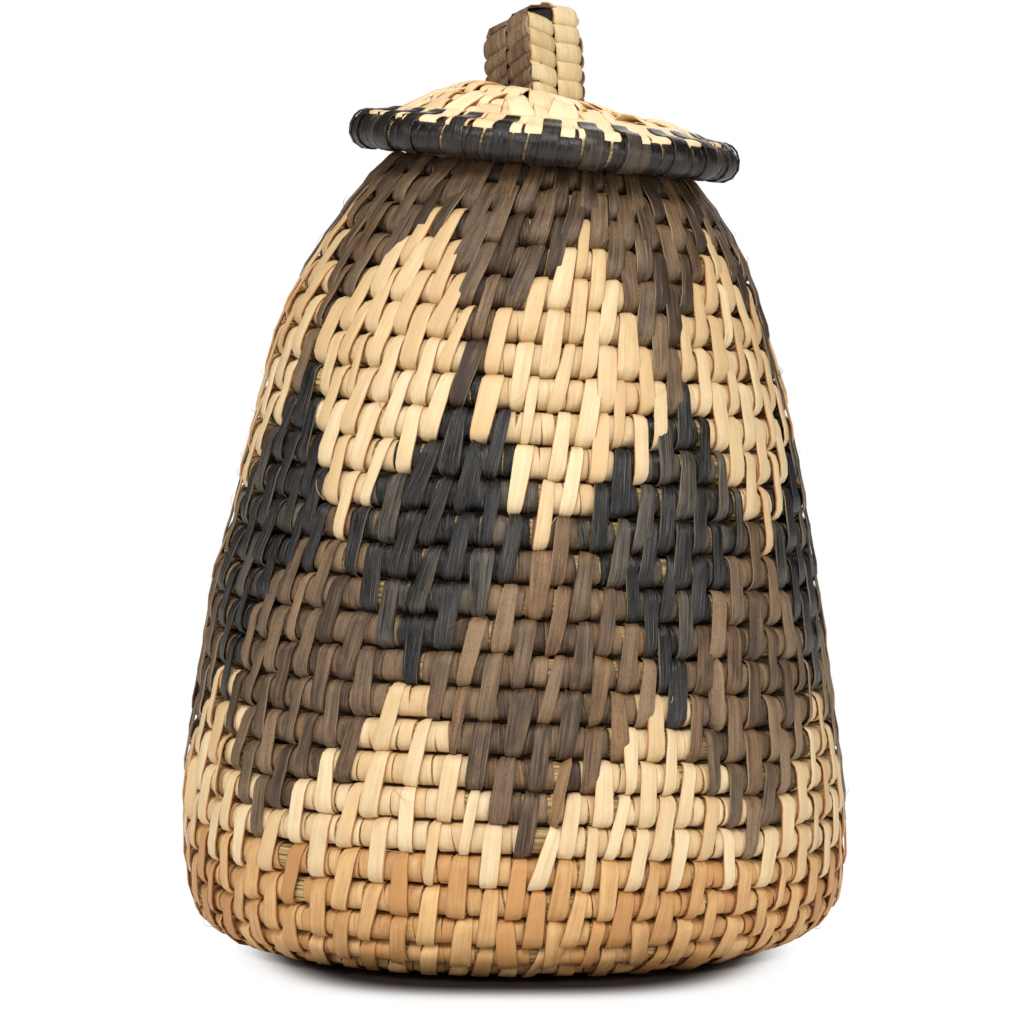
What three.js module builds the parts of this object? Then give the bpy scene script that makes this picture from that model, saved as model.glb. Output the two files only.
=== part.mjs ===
// Lidded coiled basket for dried herbs, in millimetres, +Z up, the front towards -Y.
// One grass coil climbs from the foot to the mouth, and palm strips in four colours are wrapped over it.
// The lid is a domed coil with a dark rim, a seating collar underneath and a plaited knob on top.
import * as THREE from "three";

// Fits shared by every piece
const seatGap = 0.3; // clearance left between pieces that touch
const degree = Math.PI / 180;

// Basket outline: the crest of the coil rows, from the foot up
const bodyOutline = [
  { radius: 67.5, height: 2.6 },
  { radius: 74.4, height: 8.6 },
  { radius: 78.5, height: 34 },
  { radius: 75.3, height: 61 },
  { radius: 69.4, height: 98 },
  { radius: 61.9, height: 130.7 },
  { radius: 53.8, height: 154.8 },
  { radius: 45.2, height: 170.2 },
  { radius: 34.4, height: 182.6 },
];
const bodyHeight = 182.6; // where the lean is measured
const neckLean = 4.4; // sideways drift of the mouth, as the hand-sewn rows wander
const rowSlope = 0.025; // the rows run down to the right
const mouthSlope = 0.072; // the last row does so more, because the coil thins out there
const slopeSpan = { foot: 3, belly: 30, shoulder: 150, mouth: 182.6 }; // heights between which each sets in
const coilSense = -1; // the coil climbs to the left, seen from outside
const wallThickness = 7.4; // one coil
const mouthRadius = 30.6; // clear radius of the opening
const wallRows = 25;
const rowGrowth = 1.05; // the lower rows are a little thinner than the upper ones
const flatFootRadius = 56; // the flat rows that the basket stands on
const floorThickness = 7.6;

// Palm wrapping
const wrapThickness = 2.4; // from the crest of a row to the grass core
const valleyDepth = 1.3; // how far the groove between two rows sinks
const wrapStep = 11.25; // degrees between the plain cuts round a row

// Stepped pattern, counted in repeats round the basket and in rows down from the neck
const repeats = 8;
const patternDrift = -0.8; // degrees that the pattern gains in each turn
const patternStart = -199.5; // degrees from the front, at the back of the basket
const rowLift = 0.2; // how far up, in rows, the coil is where the pattern starts
const neckRows = 2; // plain rows above the first diamond tip
const diamondReach = 5; // rows from a diamond's middle to just past its tip
const upperMiddle = 4; // row of the widest light diamond
const lowerMiddle = 13; // row of the widest brown diamond
const darkEnd = 13; // row of the lower tips of the black diamonds
const lightEnd = 18; // the plain light row under the pattern
const tipShare = 0.9; // how much of its row the widest brown diamond takes

// Lid
const lidTilt = 5.5; // degrees, down to the right, as it sits askew in the mouth
const lidSeat = 3.1; // height of the rim's middle above the mouth
const lidHeight = bodyHeight + lidSeat;
const rimRadius = 41.65; // to the middle of the rim coil
const rimTube = 4.15;
const rimRise = 2.2; // height at which the dome meets the rim
const domeRadius = 24; // where the dome flattens
const domeShoulder = 8;
const domeTop = 11.4; // crest of the dome round the knob
const lidRows = 4;
const lidThickness = 6.2;
const lidValley = 1.1;
const collarPlay = 2.2; // between the collar and the mouth
const collarRadius = mouthRadius - collarPlay;
const collarWidth = 6.4;
const collarDepth = 12.4;

// Knob: two folded palm strips plaited into a square column of four strands
const strandWidth = 6.9;
const strandThickness = 0.6;
const strandSlit = 0.9; // between the two strands that lie side by side
const strandPitch = 1.05; // rise from one crossing strand to the next
const plaitLayers = 9;
const archRise = 1.9;
const archStrand = "brown_strand_2"; // its end loops over the top of the knob to the far face
const tailLength = 12;
const knobOffset = -2.7; // the knob stands left of the lid's middle
const knobSink = 0.9; // the last row of the dome stands round the foot of the knob
const knobLean = -6.5; // degrees, back against the tilt of the lid
const knobTurn = 45; // degrees: an edge of the column faces the front

const colours = {
  grass: [0xa9975a, 0.9],
  cream: [0xe8cf9c, 0.6],
  tan: [0xd2a56f, 0.65],
  brown: [0x6b5745, 0.7],
  black: [0x2e2a2a, 0.5],
  rim: [0x3a302c, 0.55],
};

function pieceOf(name, geometry, colour) {
  const [shade, roughness] = colours[colour];
  const material = new THREE.MeshStandardMaterial({ color: shade, roughness, metalness: 0, flatShading: true });
  const mesh = new THREE.Mesh(geometry, material);
  mesh.name = name;
  return mesh;
}

// A smooth outline in the plane of radius and height, with its outward normal.
function outlineOf(points) {
  const curve = new THREE.CatmullRomCurve3(
    points.map(({ radius, height }) => new THREE.Vector3(radius, height, 0)),
    false,
    "centripetal",
  );
  curve.arcLengthDivisions = 400;
  return (share, depth) => {
    const at = curve.getPointAt(share);
    const along = curve.getTangentAt(share);
    return new THREE.Vector2(at.x - along.y * depth, at.y + along.x * depth);
  };
}

// Closed skins wound along one spiral coil.
// t counts degrees along the coil. The line under the coil at t is the line on top of it at t - 360.
// rowAt(t) gives that line's place in rows, and surface(row, t, depthName, shift) gives a point.
function coilSkin(stretches, rowAt, surface, step) {
  const positions = [];
  const index = [];
  const known = new Map();
  const inside = (t) => stretches.some(([from, to]) => t > from && t < to);
  const ends = stretches.flat();
  const near = 1e-4;

  const cutsOf = (needed, from, to) => {
    const cuts = needed.filter((t) => t > from + near && t < to - near);
    cuts.push(from, to);
    const fixed = [...cuts];
    for (let t = Math.ceil(from / step) * step; t < to; t += step) {
      if (fixed.every((other) => Math.abs(other - t) > step * 0.42)) cuts.push(t);
    }
    cuts.sort((a, b) => a - b);
    return cuts.filter((t, i) => i === 0 || t - cuts[i - 1] > near);
  };
  const lineNeeds = [...ends, ...ends.map((t) => t + 360)];
  // The line shared by two rows is cut once, over the whole coil, so both rows use the same cuts.
  const first = Math.min(...ends);
  const last = Math.max(...ends) + 360;
  const lineCuts = cutsOf(lineNeeds, first, last);
  const lineBetween = (from, to) => lineCuts.filter((t) => t >= from - near && t <= to + near);

  const vertex = (kind, t) => {
    const key = kind + t.toFixed(3);
    if (known.has(key)) return known.get(key);
    const shift = { across: 0, up: 0 };
    const middle = kind === "crest";
    const here = [inside(t - near * 5), inside(t + near * 5)];
    const below = middle ? here : [inside(t - 360 - near * 5), inside(t - 360 + near * 5)];
    if (here[0] !== here[1]) shift.across = here[1] ? 1 : -1;
    else if (below[0] !== below[1]) shift.across = below[1] ? 1 : -1;
    if (!middle) {
      if (here[0] !== below[0]) shift.up = here[0] ? 1 : -1;
      else if (here[1] !== below[1]) shift.up = here[1] ? 1 : -1;
    }
    const row = middle ? (rowAt(t) + rowAt(t + 360)) / 2 : rowAt(t);
    const at = surface(row, t, kind, shift);
    known.set(key, positions.length / 3);
    positions.push(at.x, at.y, at.z);
    return known.get(key);
  };
  const strip = (lower, upper, outward) => {
    let i = 0;
    let j = 0;
    while (i < lower.length - 1 || j < upper.length - 1) {
      const takeLower = j === upper.length - 1 || (i < lower.length - 1 && lower[i + 1].t <= upper[j + 1].t);
      const tri = takeLower
        ? [lower[i].id, lower[i + 1].id, upper[j].id]
        : [lower[i].id, upper[j + 1].id, upper[j].id];
      if (!outward) tri.reverse();
      index.push(...tri);
      if (takeLower) i += 1;
      else j += 1;
    }
  };
  const quad = (a, b, c, d) => index.push(a, b, c, a, c, d);

  for (const [from, to] of stretches) {
    const under = lineBetween(from, to);
    const over = lineBetween(from + 360, to + 360);
    const ridge = cutsOf(ends, from, to);
    const list = (kind, cuts, back) => cuts.map((t) => ({ id: vertex(kind, t), t: t - back }));
    const lower = list("groove", under, 0);
    const upper = list("groove", over, 360);
    const crest = list("crest", ridge, 0);
    const lowerBack = list("back", under, 0);
    const upperBack = list("back", over, 360);
    strip(lower, crest, true);
    strip(crest, upper, true);
    strip(lowerBack, upperBack, false);
    for (let i = 0; i < under.length - 1; i += 1) {
      if (inside((under[i] + under[i + 1]) / 2 - 360)) continue;
      quad(lowerBack[i].id, lowerBack[i + 1].id, lower[i + 1].id, lower[i].id);
    }
    for (let i = 0; i < over.length - 1; i += 1) {
      if (inside((over[i] + over[i + 1]) / 2)) continue;
      quad(upper[i].id, upper[i + 1].id, upperBack[i + 1].id, upperBack[i].id);
    }
    const closeEnd = (pick, flip) => {
      const ring = [lowerBack, lower, crest, upper, upperBack].map((line) => line.at(pick).id);
      if (flip) ring.reverse();
      index.push(ring[0], ring[1], ring[2], ring[0], ring[2], ring[3], ring[0], ring[3], ring[4]);
    };
    if (!inside(from - near * 5)) closeEnd(0, false);
    if (!inside(to + near * 5)) closeEnd(-1, true);
  }
  const geometry = new THREE.BufferGeometry();
  geometry.setAttribute("position", new THREE.Float32BufferAttribute(positions, 3));
  geometry.setIndex(coilSense < 0 ? index.reverse() : index);
  return geometry;
}

// Basket wall
const bodyAt = outlineOf(bodyOutline);
const rowShare = (row) => (row / wallRows) ** rowGrowth;

// The hand-sewn wall wanders from a true turned form: it leans, and its rows slope a little.
function wander(at) {
  const low = rowSlope * THREE.MathUtils.smoothstep(at.z, slopeSpan.foot, slopeSpan.belly);
  const high = (mouthSlope - rowSlope) * THREE.MathUtils.smoothstep(at.z, slopeSpan.shoulder, slopeSpan.mouth);
  return at.set(at.x + neckLean * (at.z / bodyHeight) ** 3, at.y, at.z - (low + high) * at.x);
}

const bodyRow = (t) => THREE.MathUtils.clamp((t + patternStart) / 360 + rowLift, 0, wallRows);
const rowHeight = 7.8; // middling width of a row, for turning a gap into a share of a row
const wrapDepths = { groove: valleyDepth, crest: 0, back: wrapThickness };

function wallPoint(row, t, kind, shift) {
  const halfGap = seatGap / 2;
  const placed = THREE.MathUtils.clamp(row + (shift.up * halfGap) / rowHeight, 0, wallRows);
  const at = bodyAt(rowShare(placed), wrapDepths[kind]);
  const angle = coilSense * ((t + patternStart) * degree + (shift.across * halfGap) / at.x);
  return wander(new THREE.Vector3(at.x * Math.sin(angle), -at.x * Math.cos(angle), at.y));
}

// Colours along the coil. Row 0 is the first row under the plain neck rows.
const repeatAngle = (360 + patternDrift) / repeats;
const rowTurn = repeatAngle * repeats;
const patternRow = (label) => wallRows - 1 - neckRows - label;

function halfWidth(row, middle) {
  return (repeatAngle / 2) * (1 - Math.abs(row - middle) / diamondReach);
}

// The node and half-width at a diamond's own column, and the node between two diamonds, in one row.
function rowPlan(row) {
  if (row < 0) return { half: 0, between: "brown_neck_wrap" };
  if (row > lightEnd) return { half: 0, between: "tan_foot_wrap" };
  if (row === lightEnd) return { half: 0, between: "cream_foot_wrap" };
  if (row < upperMiddle + diamondReach) {
    const between = row <= upperMiddle ? "brown_neck_wrap" : "black_diamond";
    return { own: "cream_diamond", half: halfWidth(row, upperMiddle), between };
  }
  const between = row <= darkEnd ? "black_diamond" : "cream_foot_wrap";
  const widest = (repeatAngle / 2) * tipShare;
  return { own: "brown_diamond", half: Math.min(halfWidth(row, lowerMiddle), widest), between };
}

function wrapStretches() {
  const found = new Map();
  const add = (name, from, to) => {
    if (to - from < 0.01) return;
    if (!found.has(name)) found.set(name, []);
    const list = found.get(name);
    const before = list.at(-1);
    if (before && Math.abs(before[1] - from) < 0.01) before[1] = to;
    else list.push([from, to]);
  };
  const wallStart = -patternStart - 360 * rowLift;
  const coilStart = wallStart - 360 + 20;
  const coilEnd = wallStart + 360 * wallRows - 20;
  for (let label = -1; label * rowTurn < coilEnd; label += 1) {
    const plan = rowPlan(patternRow(label));
    for (let k = 0; k < repeats; k += 1) {
      const start = label * rowTurn + k * repeatAngle;
      const middle = start + repeatAngle / 2;
      const bounded = (name, from, to) => add(name, Math.max(from, coilStart), Math.min(to, coilEnd));
      const single = !plan.between.endsWith("diamond");
      bounded(single ? plan.between : `${plan.between}_${k + 1}`, start, middle - plan.half);
      if (plan.half > 0) bounded(`${plan.own}_${k + 1}`, middle - plan.half, middle + plan.half);
      const next = ((k + 1) % repeats) + 1;
      bounded(single ? plan.between : `${plan.between}_${next}`, middle + plan.half, start + repeatAngle);
    }
  }
  return found;
}

function wallWraps() {
  const shade = (name) => name.split("_")[0];
  return [...wrapStretches()].map(([name, stretches]) =>
    pieceOf(name, coilSkin(stretches, bodyRow, wallPoint, wrapStep), shade(name)),
  );
}

// The grass core of the wall: a leaning shell, open at the mouth.
function wallCore() {
  const steps = 10;
  const segments = 36;
  const sag = 0.8; // how far the flat cuts of the wraps reach inwards of their corners
  const outer = [];
  const inner = [];
  for (let i = 0; i <= steps; i += 1) {
    const share = i / steps;
    outer.push(bodyAt(share, wrapThickness + seatGap + sag));
    const back = bodyAt(share, wallThickness);
    inner.push(new THREE.Vector2(Math.max(back.x, mouthRadius), back.y));
  }
  return wandering(latheOf([...outer, ...inner.reverse()], segments));
}

function latheOf(points, segments, closed = true) {
  const profile = closed ? [...points, points[0]] : points;
  const geometry = new THREE.LatheGeometry(profile, segments);
  geometry.rotateX(Math.PI / 2);
  return geometry;
}

function wandering(geometry) {
  const place = geometry.attributes.position;
  for (let i = 0; i < place.count; i += 1) {
    const at = wander(new THREE.Vector3().fromBufferAttribute(place, i));
    place.setXYZ(i, at.x, at.y, at.z);
  }
  return geometry;
}

// The floor: flat rows of the same coil, on which the basket stands.
function floorCoil() {
  const edge = bodyAt(0, 0);
  const edgeBack = bodyAt(0, wallThickness);
  const next = bodyAt(0.01, 0).sub(edge).normalize().multiplyScalar(seatGap);
  const profile = [
    new THREE.Vector2(0, 0),
    new THREE.Vector2(flatFootRadius, 0),
    edge.clone().sub(next),
    edgeBack.clone().sub(next),
    new THREE.Vector2(edgeBack.x - next.x - 2, floorThickness),
    new THREE.Vector2(0, floorThickness),
  ];
  return latheOf(profile, 48, false);
}

// Lid, in its own frame: the rim's middle at the origin
const domeStart = Math.sqrt((rimTube + seatGap) ** 2 - rimRise ** 2);
const strandSide = (strandWidth + strandSlit) / 2; // middle of a strand, off the column's middle
const strandEdge = strandSide + strandWidth / 2;
const riserPlace = 2.2; // where the strands come up through the lid
const knobFace = strandEdge + seatGap + strandThickness; // outside of the strands that turn back up
const holeRadius = Math.hypot(knobFace, strandEdge) + seatGap;
const knobMiddle = knobOffset + domeTop * Math.sin(knobLean * degree); // where the leaning knob meets the dome
const domeAt = outlineOf([
  { radius: rimRadius - domeStart, height: rimRise },
  { radius: domeRadius, height: domeShoulder },
  { radius: holeRadius, height: domeTop },
]);
const lidRow = (t) => THREE.MathUtils.clamp(t / 360, 0, lidRows);
const lidDepths = { groove: lidValley, crest: 0, back: lidThickness };

function lidPoint(row, t, kind) {
  const share = row / lidRows;
  const at = domeAt(share, lidDepths[kind]);
  const angle = coilSense * t * degree;
  const slide = knobMiddle * share; // the spiral closes in on the knob, left of the middle
  return new THREE.Vector3(slide + at.x * Math.sin(angle), -at.x * Math.cos(angle), at.y);
}

function underDome(radius) {
  let share = 0;
  while (share < 1 && domeAt(share, lidThickness).x > radius) share += 0.01;
  return domeAt(Math.min(share, 1), lidThickness).y;
}

function lidCollar() {
  const top = underDome(collarRadius) - seatGap;
  const row = collarDepth / 2;
  const bulge = 0.8;
  const outer = [];
  const inner = [];
  for (const [down, out] of [[0, 1], [0.5, 0], [1, 1], [1.5, 0], [2, 1]]) {
    outer.push(new THREE.Vector2(collarRadius - out * bulge, top - down * row));
    inner.push(new THREE.Vector2(collarRadius - collarWidth + out * bulge, top - down * row));
  }
  return latheOf([...outer.reverse(), ...inner], 32);
}

// One plaited strand: its side view is a wavy band that is drawn out to the strip's width.
// It comes up through the lid, then runs to and fro, over the first crossing strand and under the second.
function strandOutline(base, tailHeight, tailEndHeight, arch) {
  const half = strandPitch / 2;
  const cross = 0.25; // half the run in which a strand changes level, inside the slit
  const face = knobFace - strandThickness / 2;
  const corner = 0.35;
  const path = [
    [-riserPlace - tailLength, tailEndHeight],
    [-riserPlace, tailHeight],
    [-riserPlace, base - half],
    [-cross, base - half],
    [cross, base + half],
  ];
  for (let layer = 0; layer < plaitLayers; layer += 1) {
    const way = layer % 2 === 0 ? 1 : -1;
    const level = base + layer * 2 * strandPitch;
    const leave = layer === 0 ? level + half : level - half;
    if (layer > 0) path.push([-way * strandEdge, level + half], [-way * cross, level + half], [way * cross, leave]);
    path.push([way * strandEdge, leave]);
    const last = layer === plaitLayers - 1;
    if (!last) path.push([way * face, leave + corner], [way * face, level + 2 * strandPitch + half - corner]);
    if (!last || !arch) continue;
    const foot = leave + corner;
    path.push([way * face, foot]);
    for (let i = 1; i <= 6; i += 1) {
      const turn = (i / 6) * Math.PI * 0.86;
      path.push([way * face * Math.cos(turn), foot + 2 * strandPitch + archRise * Math.sin(turn)]);
    }
  }
  return path.map(([x, y]) => new THREE.Vector2(x, y));
}

function bandShape(path, thickness) {
  const left = [];
  const right = [];
  path.forEach((point, i) => {
    const before = point.clone().sub(path[Math.max(i - 1, 0)]);
    const after = path[Math.min(i + 1, path.length - 1)].clone().sub(point);
    if (i === 0) before.copy(after);
    if (i === path.length - 1) after.copy(before);
    before.normalize();
    after.normalize();
    const bisector = before.clone().add(after).normalize();
    const reach = thickness / 2 / Math.max(bisector.dot(before), 0.5);
    const side = new THREE.Vector2(-bisector.y, bisector.x).multiplyScalar(reach);
    left.push(point.clone().add(side));
    right.push(point.clone().sub(side));
  });
  return new THREE.Shape([...right, ...left.reverse()]);
}

function strand(arch) {
  const leanDrop = (reach) => reach * Math.sin(Math.abs(knobLean) * degree) + seatGap + strandThickness / 2;
  const tailReach = riserPlace + tailLength;
  const tailHeight = underDome(holeRadius - knobMiddle) - leanDrop(holeRadius);
  const tailEnd = underDome(tailReach - knobMiddle) - leanDrop(tailReach);
  const base = domeTop - knobSink + seatGap + strandThickness / 2 + strandPitch / 2;
  const shape = bandShape(strandOutline(base, tailHeight, tailEnd, arch), strandThickness);
  const geometry = new THREE.ExtrudeGeometry(shape, { depth: strandWidth, bevelEnabled: false });
  geometry.rotateX(Math.PI / 2);
  geometry.translate(0, strandEdge, 0);
  return geometry;
}

function knob() {
  const group = new THREE.Group();
  ["brown_strand_1", "cream_strand_1", "brown_strand_2", "cream_strand_2"].forEach((name, i) => {
    const mesh = pieceOf(name, strand(name === archStrand), name.split("_")[0]);
    mesh.rotation.z = (i * -Math.PI) / 2;
    group.add(mesh);
  });
  group.rotation.z = knobTurn * degree;
  const upright = new THREE.Group();
  upright.add(group);
  upright.rotation.y = knobLean * degree;
  upright.position.x = knobOffset;
  return upright;
}

function lid() {
  const group = new THREE.Group();
  const coil = coilSkin([[-340, 360 * lidRows - 20]], lidRow, lidPoint, wrapStep);
  group.add(
    pieceOf("lid_coil", coil, "cream"),
    pieceOf("lid_rim", new THREE.TorusGeometry(rimRadius, rimTube, 8, 36), "rim"),
    pieceOf("lid_collar", lidCollar(), "grass"),
    knob(),
  );
  const tilt = lidTilt * degree;
  const collarMiddle = underDome(collarRadius) - seatGap - collarDepth / 2;
  const reach = collarRadius * Math.cos(tilt) + collarMiddle * Math.sin(tilt);
  group.rotation.y = tilt;
  group.position.set(neckLean + mouthRadius - seatGap - reach, 0, lidHeight);
  return group;
}

const basket = new THREE.Group();
basket.add(pieceOf("floor_coil", floorCoil(), "tan"), pieceOf("wall_core", wallCore(), "grass"));
basket.add(...wallWraps(), lid());

export default basket;
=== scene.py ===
# %% [markdown]
# A lidded basket for dried herbs.
# One bundle of grass is coiled up from the floor to the mouth, and strips of palm leaf sew each row to the
# last one.
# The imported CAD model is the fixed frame: it says where everything goes.
# Here every CAD solid gets a dressed piece in its place, because the look of a basket is all in its stitches.

# %% Load the frame
import math

import bmesh
import bpy
import numpy as np
from mathutils import Matrix, Vector


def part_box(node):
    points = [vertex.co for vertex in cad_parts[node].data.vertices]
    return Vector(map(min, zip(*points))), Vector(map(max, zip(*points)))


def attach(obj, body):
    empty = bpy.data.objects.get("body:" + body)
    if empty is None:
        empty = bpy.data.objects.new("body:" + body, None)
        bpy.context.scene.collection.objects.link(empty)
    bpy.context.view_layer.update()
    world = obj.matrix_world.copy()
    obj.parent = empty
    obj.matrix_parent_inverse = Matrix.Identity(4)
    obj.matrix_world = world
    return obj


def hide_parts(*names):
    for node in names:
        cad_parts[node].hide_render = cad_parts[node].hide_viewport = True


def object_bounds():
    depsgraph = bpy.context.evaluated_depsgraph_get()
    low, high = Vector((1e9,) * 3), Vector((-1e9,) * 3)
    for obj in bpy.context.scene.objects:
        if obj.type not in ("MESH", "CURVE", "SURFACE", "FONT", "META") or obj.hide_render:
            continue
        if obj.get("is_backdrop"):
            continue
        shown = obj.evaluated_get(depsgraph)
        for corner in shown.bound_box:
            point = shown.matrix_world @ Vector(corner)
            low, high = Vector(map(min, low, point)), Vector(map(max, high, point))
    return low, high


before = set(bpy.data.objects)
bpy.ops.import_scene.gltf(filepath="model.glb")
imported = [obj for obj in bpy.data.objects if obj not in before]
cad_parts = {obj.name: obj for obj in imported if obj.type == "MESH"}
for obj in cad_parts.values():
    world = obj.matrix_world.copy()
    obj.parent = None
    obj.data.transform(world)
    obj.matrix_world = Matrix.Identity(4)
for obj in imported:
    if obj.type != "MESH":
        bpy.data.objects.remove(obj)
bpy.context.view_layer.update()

MM = 0.001
scene = bpy.context.scene
scene.view_settings.view_transform = "Standard"

# %% [markdown]
# The camera comes first, since every later look at the work depends on it.
# A product photograph is taken from a distance with a long lens, so the rows stay nearly level.
# The camera stands a metre away, a little above the middle of the basket, and is tipped down to it.

# %% Camera
CAMERA_PLACE, CAMERA_AIM = (-0.0005, -1.0, 0.185), (-0.0005, 0, 0.0993)


def aimed(name, data, place, aim):
    """Puts a camera or a lamp at a place, turned to look at another."""
    made = bpy.data.objects.new(name, data)
    made.location = place
    made.rotation_euler = (Vector(aim) - Vector(place)).to_track_quat("-Z", "Y").to_euler()
    scene.collection.objects.link(made)
    return made


lens_data = bpy.data.cameras.new("photo_camera")
lens_data.lens = 148.7
lens_data.sensor_width = 36
lens_data.clip_start = 0.05
scene.camera = aimed("photo_camera", lens_data, CAMERA_PLACE, CAMERA_AIM)
print("camera's field of view in degrees:", round(math.degrees(lens_data.angle), 1))

# %% [markdown]
# The outline of the basket is a smooth curve through a few points of radius and height.
# Spinning it would give a smooth pot, but this wall is all rows, so the rows are steps along the curve.
# A place on the basket then has three numbers: the row line it is on, how deep under the crest of the
# rows it lies, and its angle round the basket.
# Row line 0 is where the wall leaves the floor, and 25 is the mouth. Lines below 0 are rows of the floor.

# %% Outline helpers
def between(a, b, low, high, at):
    """The value at a place on the straight line from a at low to b at high."""
    return (a * (high - at) + b * (at - low)) / (high - low)


def smooth_outline(points, steps=80):
    """A dense centripetal Catmull-Rom curve through points of radius and height, in mm."""
    points = np.array(points, float)
    points = np.vstack([2 * points[0] - points[1], points, 2 * points[-1] - points[-2]])
    dense, knots = [], [0]
    for p in (points[i : i + 4] for i in range(len(points) - 3)):
        gaps = np.maximum(np.linalg.norm(np.diff(p, axis=0), axis=1) ** 0.5, 1e-6)
        t = np.concatenate([[0], np.cumsum(gaps)])
        u = np.linspace(t[1], t[2], steps, endpoint=False)[:, None]
        level = [between(p[i], p[i + 1], t[i], t[i + 1], u) for i in range(3)]
        level = [between(level[i], level[i + 1], t[i], t[i + 2], u) for i in range(2)]
        dense.append(between(*level, t[1], t[2], u))
        knots.append(knots[-1] + steps)
    dense.append(points[-2][None, :])
    return np.vstack(dense), knots


def smooth_step(value, low, high):
    share = np.clip((value - low) / (high - low), 0, 1)
    return share * share * (3 - 2 * share)


def look_up(table, at):
    """The value of a table at a place between its entries."""
    return np.interp(at, list(table), list(table.values()))


print("places on a curve through 3 points:", len(smooth_outline([(0, 0), (1, 1), (2, 1)])[0]))

# %% Coiled surface
SENSE = -1  # the coil climbs to the left, seen from outside
ROW_LIFT = 0.2  # where in a row the coil is at the front


def ring_place(radius, height, angle):
    """A place at an angle round the upright axis. Angle 0 is the front, 90 degrees is the right."""
    turn = np.radians(angle)
    return np.stack(np.broadcast_arrays(radius * np.sin(turn), -radius * np.cos(turn), height), axis=-1)


def coil_angle(line):
    """Where the coil is, in degrees round from the front, when it is on a row line."""
    return SENSE * 360 * (line - ROW_LIFT)


class CoiledSurface:
    """Places points on a coiled form from their row line, depth and angle. Lengths are in mm."""

    def __init__(self, outline, lengths_of_lines, lines, settle, side=1):
        length = np.concatenate([[0], np.cumsum(np.linalg.norm(np.diff(outline, axis=0), axis=1))])
        self.lines = lines
        self.length = lengths_of_lines(length)
        along = np.gradient(outline, length, axis=0)
        along /= np.linalg.norm(along, axis=1)[:, None]
        self.radius, self.height = (np.interp(self.length, length, outline[:, i]) for i in (0, 1))
        self.rise = [np.interp(self.length, length, along[:, i]) for i in (0, 1)]
        self.settle = settle
        self.side = side

    def row_height(self, line):
        low = np.interp(line - 0.5, self.lines, self.length)
        return np.abs(np.interp(line + 0.5, self.lines, self.length) - low)

    def crest_radius(self, line):
        return np.interp(line, self.lines, self.radius)

    def around(self, line, least_radius):
        """The length of one turn, taken no tighter than the least radius."""
        return 2 * math.pi * max(float(self.crest_radius(line)), least_radius)

    def profile(self, line, depth):
        """Radius and height of a place, seen in section."""
        at = [np.interp(line, self.lines, table) for table in (self.radius, self.height, *self.rise)]
        return at[0] - at[3] * depth * self.side, at[1] + at[2] * depth * self.side

    def place(self, line, depth, angle):
        line, depth, angle = np.broadcast_arrays(line, depth, angle)
        radius, height = self.profile(line, depth)
        return self.settle(ring_place(radius, height, angle), line)


# %% [markdown]
# A basket sewn by hand is never true. Its neck leans, its shoulder is fuller on one side, and its rows run
# down to the right, most of all at the mouth.
# Each stitch could be moved on its own, but then neighbours would part.
# So one function bends the whole form, and everything on the wall goes through it.

# %% The wall and floor as one coiled surface
BODY_HEIGHT = 182.6
FLOOR_OUTLINE = [(0.2, 0.4), (30, 0.4), (57, 0.4), (65, 0.7)]
WALL_OUTLINE = [
    (70.8, 2.4), (76.0, 8.4), (78.5, 34), (75.3, 61), (69.4, 98),
    (61.9, 130.7), (52.9, 154.8), (44.0, 170.2), (34.3, BODY_HEIGHT),
]
WALL_ROWS, ROW_GROWTH = 25, 1.05  # the upper rows are a little taller
FLOOR_ROW, FIRST_LINE = 7.4, -9.2
# Where the wall strays from a true form, with the heights between which each change comes in.
ROW_SLOPE, FOOT = 0.025, (3, 30)
MOUTH_SLOPE, MOUTH = 0.072, (150, BODY_HEIGHT)
NECK_LEAN = 4.4
SHOULDER_SHIFT, SHOULDER = 1.8, (140, 176)
LEFT_DENT, DENT_FOOT, DENT_TOP, DENT_SIDE = 1.8, (84, 100), (126, 146), (25, 65)
SAG = {0: 0, 25: 4.0, 60: 4.2, 98: 2.4, 130: 0.9, 155: 0}  # by height, how far the rows drop at the sides
PRESSED = 0.6  # strips below this height are pressed flat on the floor


def basket_lengths(length):
    foot = length[knots[len(FLOOR_OUTLINE)]]
    wall = (length[-1] - foot) * (np.clip(basket_lines, 0, None) / WALL_ROWS) ** ROW_GROWTH
    return foot + np.where(basket_lines < 0, basket_lines * FLOOR_ROW, wall)


def wander(spots, line):
    """Moves places on the true form to where the hand-sewn basket has them."""
    x, height = spots[..., 0].copy(), spots[..., 2].copy()
    slope = ROW_SLOPE * smooth_step(height, *FOOT)
    slope += (MOUTH_SLOPE - ROW_SLOPE) * smooth_step(height, *MOUTH)
    spots[..., 0] += NECK_LEAN * (np.clip(height, 0, None) / BODY_HEIGHT) ** 3
    spots[..., 0] += SHOULDER_SHIFT * smooth_step(height, *SHOULDER)
    dent = smooth_step(height, *DENT_FOOT) * (1 - smooth_step(height, *DENT_TOP))
    spots[..., 0] += LEFT_DENT * dent * smooth_step(-x, *DENT_SIDE)
    side = (x / np.maximum(np.hypot(x, spots[..., 1]), 1)) ** 2
    spots[..., 2] -= slope * x + look_up(SAG, height) * side
    above = spots[..., 2]
    pressed = PRESSED * np.exp(np.minimum(above / PRESSED - 1, 0))
    spots[..., 2] = np.where(above < PRESSED, pressed, above)
    return spots


basket_outline, knots = smooth_outline(FLOOR_OUTLINE + WALL_OUTLINE)
basket_lines = np.linspace(FIRST_LINE, WALL_ROWS, 1800)
basket = CoiledSurface(basket_outline, basket_lengths, basket_lines, wander)
print("row height at the belly, mm:", round(float(basket.row_height(6.0)), 2))

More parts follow.
